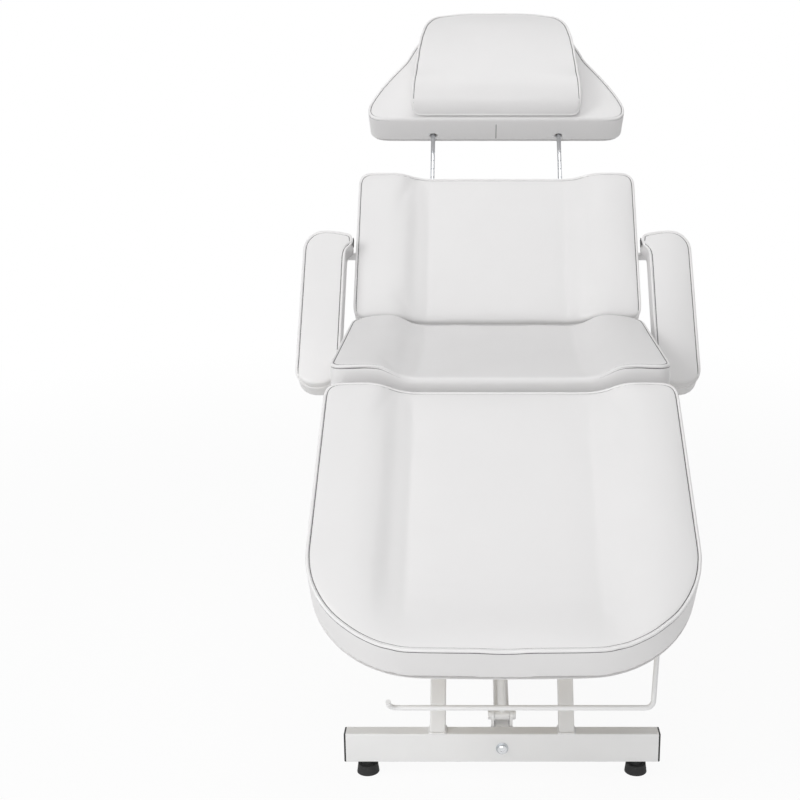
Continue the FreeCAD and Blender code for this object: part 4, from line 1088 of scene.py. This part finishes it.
@dataclass
class FloorBase:
    """Details of the tube base: weld beads round its joints and the bolts through its floor bars."""

    bead_radius: float = 2.2
    ripple: float = 3.2
    bolt_radius: float = 7.4
    bolt_height: float = 3.8
    socket: float = 3.0
    washer: float = 9.8

    def beads(self, frame: dict, node: str, level: float, body: Body, palette: Palette) -> None:
        """Lay a rippled weld bead round every tube of a node where it meets another.

        Args:
            frame: The loaded frame.
            node: Node whose tubes are welded.
            level: Height of the weld, in metres.
            body: Body that it rides on.
            palette: Materials of the bed.
        """
        kept: List[List[Vector]] = []
        for loop in slice_loops(frame["nodes"][node].data, level):
            middle = sum(loop, Vector()) / len(loop)
            if all((middle - sum(other, Vector()) / len(other)).length > 30 * MM for other in kept):
                kept.append(loop)
        for number, loop in enumerate(kept):
            points = resample(loop, self.ripple / 3 * MM)
            widths = [1.0 + 0.16 * math.sin(2 * math.pi * index / 3) + 0.1 * math.sin(index * 0.37)
                      for index in range(len(points))]
            bead = tube_along(f"{node}_weld_{round(level * 1000)}_{number}", eased(points, 1), self.bead_radius,
                              widths=widths, sides=1)
            settle(bead, body, palette.of(POWDER), smooth=180.0)

    def bar_bolts(self, palette: Palette) -> None:
        """Put a washer and a socket button bolt where the stretcher is bolted to each floor bar.

        Args:
            palette: Materials of the bed.
        """
        low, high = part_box("stretcher_bolts")
        level = (low.z + high.z) / 2
        front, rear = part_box("front_floor_bar")[0].y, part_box("rear_floor_bar")[1].y
        facing = [Matrix.Translation((0, front, level)) @ Matrix.Rotation(math.pi / 2, 4, "X"),
                  Matrix.Translation((0, rear, level)) @ Matrix.Rotation(-math.pi / 2, 4, "X")]
        raised = [place @ Matrix.Translation((0, 0, 1.4 * MM)) for place in facing]
        washers = copied("bar_washers", plain_washer("bar_washers", self.washer, 1.5), facing)
        heads = copied("bar_bolt_heads", button_head("bar_bolt_heads", self.bolt_radius, self.bolt_height,
                                                     self.socket), raised)
        for piece, finish, slot in ((washers, ZINC, Slot.HARDWARE), (heads, CHROME, Slot.CHROME)):
            settle(piece, Body.BASE, palette.of(finish))
        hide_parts("stretcher_bolts")

    def build(self, frame: dict, palette: Palette) -> None:
        """Build and dress the base's details.

        Args:
            frame: The loaded frame.
            palette: Materials of the bed.
        """
        bar_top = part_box("front_floor_bar")[1].z
        rail_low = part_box("seat_frame")[0].z
        for node in ("front_legs", "rear_legs"):
            self.beads(frame, node, bar_top + 0.8 * MM, Body.BASE, palette)
            self.beads(frame, node, rail_low - 0.8 * MM, Body.BASE, palette)
        self.beads(frame, "centre_post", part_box("base_stretcher")[1].z + 0.8 * MM, Body.BASE, palette)
        self.bar_bolts(palette)


@dataclass
class StrutCollar:
    """Clamp collar on the mouth of a strut's sleeve, with a lobed thumb knob."""

    sleeve: str
    joint: str
    body: Body
    radius: float = 13.0
    length: float = 15.0
    knob_radius: float = 8.0
    knob_length: float = 12.0

    def build(self, frame: dict, palette: Palette) -> None:
        """Model the collar and knob and seat them on the sleeve.

        Args:
            frame: The loaded frame.
            palette: Materials of the bed.
        """
        joint = next(entry for entry in frame["joints"] if entry["name"] == self.joint)
        along = Vector(joint["axis"]).normalized()
        places = [vertex.co for vertex in frame["nodes"][self.sleeve].data.vertices]
        mouth = min(place.dot(along) for place in places)
        ends = [place for place in places if place.dot(along) < mouth + 1 * MM]
        centre = sum(ends, Vector()) / len(ends)
        centre.x = 0.0
        turn = along.to_track_quat("Z", "X").to_matrix().to_4x4()
        seat = Matrix.Translation(centre) @ turn
        for piece, slot, finish in ((self.collar(), Slot.HARDWARE, ZINC), (self.knob(), Slot.PLASTIC, PLASTIC)):
            piece.data.transform(seat)
            settle(piece, self.body, palette.of(finish))

    def collar(self) -> bpy.types.Object:
        """Model the ring along Z, bored for the sleeve."""
        bpy.ops.object.select_all(action="DESELECT")
        bpy.ops.mesh.primitive_cylinder_add(vertices=36, radius=self.radius * MM, depth=self.length * MM,
                                            location=(0, 0, self.length / 2 * MM))
        ring = bpy.context.active_object
        ring.name = self.sleeve + "_collar"
        only(ring)
        bpy.ops.object.transform_apply(location=True, rotation=True, scale=True)
        bpy.ops.object.select_all(action="DESELECT")
        bpy.ops.mesh.primitive_cylinder_add(vertices=36, radius=10.05 * MM, depth=3 * self.length * MM)
        cutter = bpy.context.active_object
        modified(ring, "BOOLEAN", object=cutter, operation="DIFFERENCE", solver="EXACT")
        bpy.data.objects.remove(cutter)
        modified(ring, "BEVEL", width=0.8 * MM, segments=2, limit_method="ANGLE")
        return ring

    def knob(self) -> bpy.types.Object:
        """Model the thumb knob, standing out of the ring along X."""
        bpy.ops.object.select_all(action="DESELECT")
        bpy.ops.mesh.primitive_cylinder_add(vertices=24, radius=self.knob_radius * MM, depth=self.knob_length * MM)
        knob = bpy.context.active_object
        knob.name = self.sleeve + "_knob"
        for vertex in knob.data.vertices:
            lobe = 1.0 + 0.09 * math.cos(6 * math.atan2(vertex.co.y, vertex.co.x))
            vertex.co.x, vertex.co.y = vertex.co.x * lobe, vertex.co.y * lobe
        select_faces(knob, UP)
        only(knob)
        bpy.ops.object.mode_set(mode="EDIT")
        bpy.ops.mesh.inset(thickness=1.6 * MM, depth=0.8 * MM)
        bpy.ops.object.mode_set(mode="OBJECT")
        modified(knob, "BEVEL", width=0.7 * MM, segments=2, limit_method="ANGLE")
        reach = self.radius + self.knob_length / 2 - 0.6
        knob.data.transform(Matrix.Translation((reach * MM, 0, self.length / 2 * MM))
                            @ Matrix.Rotation(math.pi / 2, 4, "Y"))
        return knob


@dataclass
class ArmGlideAndGapShade:
    """Black glide pad on the tip of an armrest's hook, which keeps the pad off the backrest's cover; its black is
    also painted shade of the gap between the hook and the backrest.
    """

    arm: Upholstery
    thickness: float = 2.0
    length: float = 17.0
    height: float = 12.0

    def build(self, frame: dict, palette: Palette) -> None:
        """Model the glide and set it on the hook's tip.

        Args:
            frame: The loaded frame.
            palette: Materials of the bed.
        """
        pad = self.arm.lay_flat(frame)
        places = [vertex.co.copy() for vertex in pad.data.vertices]
        bpy.data.objects.remove(pad)
        tip = min(places, key=lambda place: abs(place.x)).x
        end = [place for place in places if abs(place.x - tip) < 0.5 * MM]
        centre = sum(end, Vector()) / len(end)
        side = math.copysign(1.0, tip)
        bpy.ops.object.select_all(action="DESELECT")
        bpy.ops.mesh.primitive_cube_add(size=1.0)
        glide = bpy.context.active_object
        glide.name = self.arm.node + "_glide_and_gap_shade"
        glide.scale = (self.thickness * MM, self.length * MM, self.height * MM)
        only(glide)
        bpy.ops.object.transform_apply(location=True, rotation=True, scale=True)
        select_faces(glide, Vector((-side, 0.0, 0.0)))
        bpy.ops.object.mode_set(mode="EDIT")
        bpy.ops.mesh.inset(thickness=2.2 * MM, depth=-0.5 * MM)
        bpy.ops.object.mode_set(mode="OBJECT")
        modified(glide, "BEVEL", width=0.6 * MM, segments=2, limit_method="ANGLE")
        glide.data.transform(Matrix.Translation((tip - side * 0.4 * self.thickness * MM, centre.y, centre.z)))
        glide.data.transform(self.arm.hinge.seat())
        settle(glide, self.arm.body, palette.of(PLASTIC))


@dataclass
class SolidFinishes:
    """Finishes of the solids that stay in sight."""

    by_slot: Dict[str, Finish] = field(default_factory=lambda: {
        Slot.VINYL.value: VINYL, Slot.FRAME.value: POWDER, Slot.BOARD.value: PLYWOOD, Slot.CHROME.value: CHROME,
        Slot.HARDWARE.value: ZINC, Slot.PLASTIC.value: PLASTIC, Slot.RUBBER.value: RUBBER})
    painted: Tuple[str, ...] = ("leg_strut_foot_pin", "back_strut_foot_pin")

    def dress(self, frame: dict, palette: Palette) -> None:
        """Give every solid the finish of its slot.

        Args:
            frame: The loaded frame.
            palette: Materials of the bed.
        """
        for entry in frame["record"]["subparts"]:
            solid = frame["nodes"][entry["node"]]
            finish = POWDER if entry["node"] in self.painted else self.by_slot[entry["material_slot"]]
            material = palette.of(finish)
            if not solid.material_slots:
                solid.data.materials.append(material)
            for held in solid.material_slots:
                held.material = material
            LOG.info("%s: %s", entry["node"], material.name)


@dataclass
class Studio:
    """Plain studio: a pale floor, soft lamps and the photograph's camera."""

    camera_place: Tuple[float, float, float] = (-0.034, -2.37858, 1.096)
    camera_pitch: float = 75.45
    lens: float = 57.12
    shift: float = -0.1011
    floor_size: float = 30.0
    floor_colour: str = "#F6F6F6"
    daylight: float = 0.37

    def floor(self) -> None:
        """Lay the floor: it shows white, keeps the bed's shadow and fades out to the backdrop."""
        bpy.ops.object.select_all(action="DESELECT")
        bpy.ops.mesh.primitive_plane_add(size=self.floor_size, location=(0, 0, 0))
        floor = bpy.context.active_object
        floor.name = "studio_floor"
        material = bpy.data.materials.new("studio_floor_paper")
        material.use_nodes = True
        tree = material.node_tree
        tree.nodes.clear()
        where = add_node(tree, "ShaderNodeTexCoord")
        far = add_node(tree, "ShaderNodeVectorMath", {"operation": "LENGTH"}, {0: where.outputs["Object"]})
        fade = add_node(tree, "ShaderNodeMapRange", {"From Min": 1.0, "From Max": 3.0, "To Min": 0.93, "To Max": 1.0,
                                                     "interpolation_type": "SMOOTHSTEP"},
                        {"Value": far.outputs["Value"]})
        ray = self.seen_ray(tree)
        share = add_node(tree, "ShaderNodeMath", {"operation": "MULTIPLY"}, {0: ray, 1: fade.outputs["Result"]})
        paper = add_node(tree, "ShaderNodeBsdfDiffuse", {"Color": linear(self.floor_colour)})
        glow = add_node(tree, "ShaderNodeEmission", {"Color": (1, 1, 1, 1), "Strength": 1.0})
        mixed = add_node(tree, "ShaderNodeMixShader", {}, {0: share.outputs["Value"], 1: paper.outputs["BSDF"],
                                                           2: glow.outputs["Emission"]})
        add_node(tree, "ShaderNodeOutputMaterial", {}, {"Surface": mixed.outputs["Shader"]})
        floor.data.materials.append(material)
        floor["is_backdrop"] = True

    def seen_ray(self, tree: bpy.types.NodeTree) -> bpy.types.NodeSocket:
        """Add a test for rays that the eye follows: straight, mirrored or through glass."""
        path = add_node(tree, "ShaderNodeLightPath")
        seen = path.outputs["Is Camera Ray"]
        for name in ("Is Glossy Ray", "Is Transmission Ray"):
            seen = add_node(tree, "ShaderNodeMath", {"operation": "MAXIMUM"},
                            {0: seen, 1: path.outputs[name]}).outputs["Value"]
        return seen

    def backdrop(self) -> None:
        """Light the world evenly and show it white."""
        world = bpy.data.worlds.new("studio_world")
        bpy.context.scene.world = world
        world.use_nodes = True
        tree = world.node_tree
        tree.nodes.clear()
        strength = add_node(tree, "ShaderNodeMapRange", {"To Min": self.daylight, "To Max": 1.0},
                            {"Value": self.seen_ray(tree)})
        glow = add_node(tree, "ShaderNodeBackground", {"Color": (1, 1, 1, 1)},
                        {"Strength": strength.outputs["Result"]})
        add_node(tree, "ShaderNodeOutputWorld", {}, {"Surface": glow.outputs["Background"]})

    def lamp(self, name: str, place: Tuple[float, float, float], aim: Tuple[float, float, float], size: float,
             power: float) -> None:
        """Hang one square soft lamp.

        Args:
            name: Name of the lamp.
            place: Where it hangs, in metres.
            aim: Point that it faces, in metres.
            size: Side of the lamp, in metres.
            power: Its power, in watts.
        """
        data = bpy.data.lights.new(name, "AREA")
        data.shape, data.size, data.energy = "SQUARE", size, power
        lamp = new_object(name, data)
        lamp.location = place
        lamp.rotation_euler = (Vector(aim) - Vector(place)).to_track_quat("-Z", "Y").to_euler()

    def camera(self) -> None:
        """Set the camera at the photograph's view."""
        data = bpy.data.cameras.new("photo_camera")
        data.lens, data.sensor_width, data.shift_x = self.lens, 36.0, self.shift
        camera = new_object("photo_camera", data)
        camera.location = self.camera_place
        camera.rotation_euler = (math.radians(self.camera_pitch), 0.0, 0.0)
        bpy.context.scene.camera = camera

    def build(self) -> None:
        """Build the studio."""
        bpy.context.scene.view_settings.view_transform = "Standard"
        self.floor()
        self.backdrop()
        self.lamp("key_lamp", (-2.6, -1.9, 2.7), (0.0, 0.0, 0.6), 1.6, 42.0)
        self.lamp("front_lamp", (-0.6, -3.7, 0.55), (0.0, 0.0, 0.6), 2.0, 40.0)
        self.lamp("top_lamp", (0.3, -0.4, 3.4), (0.0, 0.0, 0.6), 2.0, 20.0)
        self.camera()


def main() -> Tuple[Tuple[Vector, Vector], Tuple[Vector, Vector]]:
    """Load the frame, build every sub-assembly in order and dress it.

    Returns:
        Box of the solids and box of the dressed bed, each as its lowest and highest corner.
    """
    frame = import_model()
    solid_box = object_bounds()
    palette = Palette()
    level = Hinge()
    back = Hinge.of_joint(frame["joints"], "back_recline")
    leg = Hinge.of_joint(frame["joints"], "leg_lift")
    SolidFinishes().dress(frame, palette)
    seat = Upholstery("seat_cushion", Body.BASE, level, swell=3.0, rear_rise=16.0, glue_line=145.0)
    rest = Upholstery("back_cushion", Body.BACK, back, swell=3.0, front_drop=20.0, glue_line=145.0,
                      tubes="headrest_sockets")
    legs = Upholstery("leg_cushion", Body.LEG, leg, swell=3.0, glue_line=145.0)
    head = Upholstery("headrest_cushion", Body.HEAD, back, voxel=5.0, rounding=(0.0, 0.5), round_steps=14,
                      bow=(10.0, 6.0, 0.62))
    pillow = Upholstery("head_pillow", Body.HEAD, back, voxel=4.5, swell=5.0, held_low=5.0, rim_inset=9.0,
                        front_drop=34.0, rounding=(0.3, 1.0), round_steps=110, soften=5, even_out=60,
                        droop=7.0, fill=0.6)
    arms = [Upholstery("armrest_left_pad", Body.ARM_LEFT, back, voxel=4.0, swell=3.0, held_low=6.0, hooked=True,
                       front_drop=26.0),
            Upholstery("armrest_right_pad", Body.ARM_RIGHT, back, voxel=4.0, swell=3.0, held_low=6.0, hooked=True,
                       front_drop=26.0)]
    cushions = [seat, rest, legs, head, pillow] + arms
    for cushion in cushions:
        cushion.build(frame)
        gap = {seat.node: 170.0, head.node: 235.0}.get(cushion.node, 0.0)
        Welting(cushion, gap=gap, join=cushion is head).build(palette)
        cushion.dress(palette)
    for section in (Underside(seat, "seat_board", "seat_frame"), Underside(rest, "back_board", "back_frame"),
                    Underside(legs, "leg_board", "leg_frame"), Underside(head, "headrest_board")):
        section.build(frame, palette)
    FloorBase().build(frame, palette)
    StrutCollar("leg_strut_sleeve", "leg_strut_extend", Body.LEG_SLEEVE).build(frame, palette)
    StrutCollar("back_strut_sleeve", "back_strut_extend", Body.BACK_SLEEVE).build(frame, palette)
    for arm in arms:
        ArmGlideAndGapShade(arm).build(frame, palette)
    Studio().build()
    return solid_box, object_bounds()


if __name__ == "__main__":
    logging.basicConfig(level=logging.INFO, format="%(name)s %(message)s")
    boxes = main()
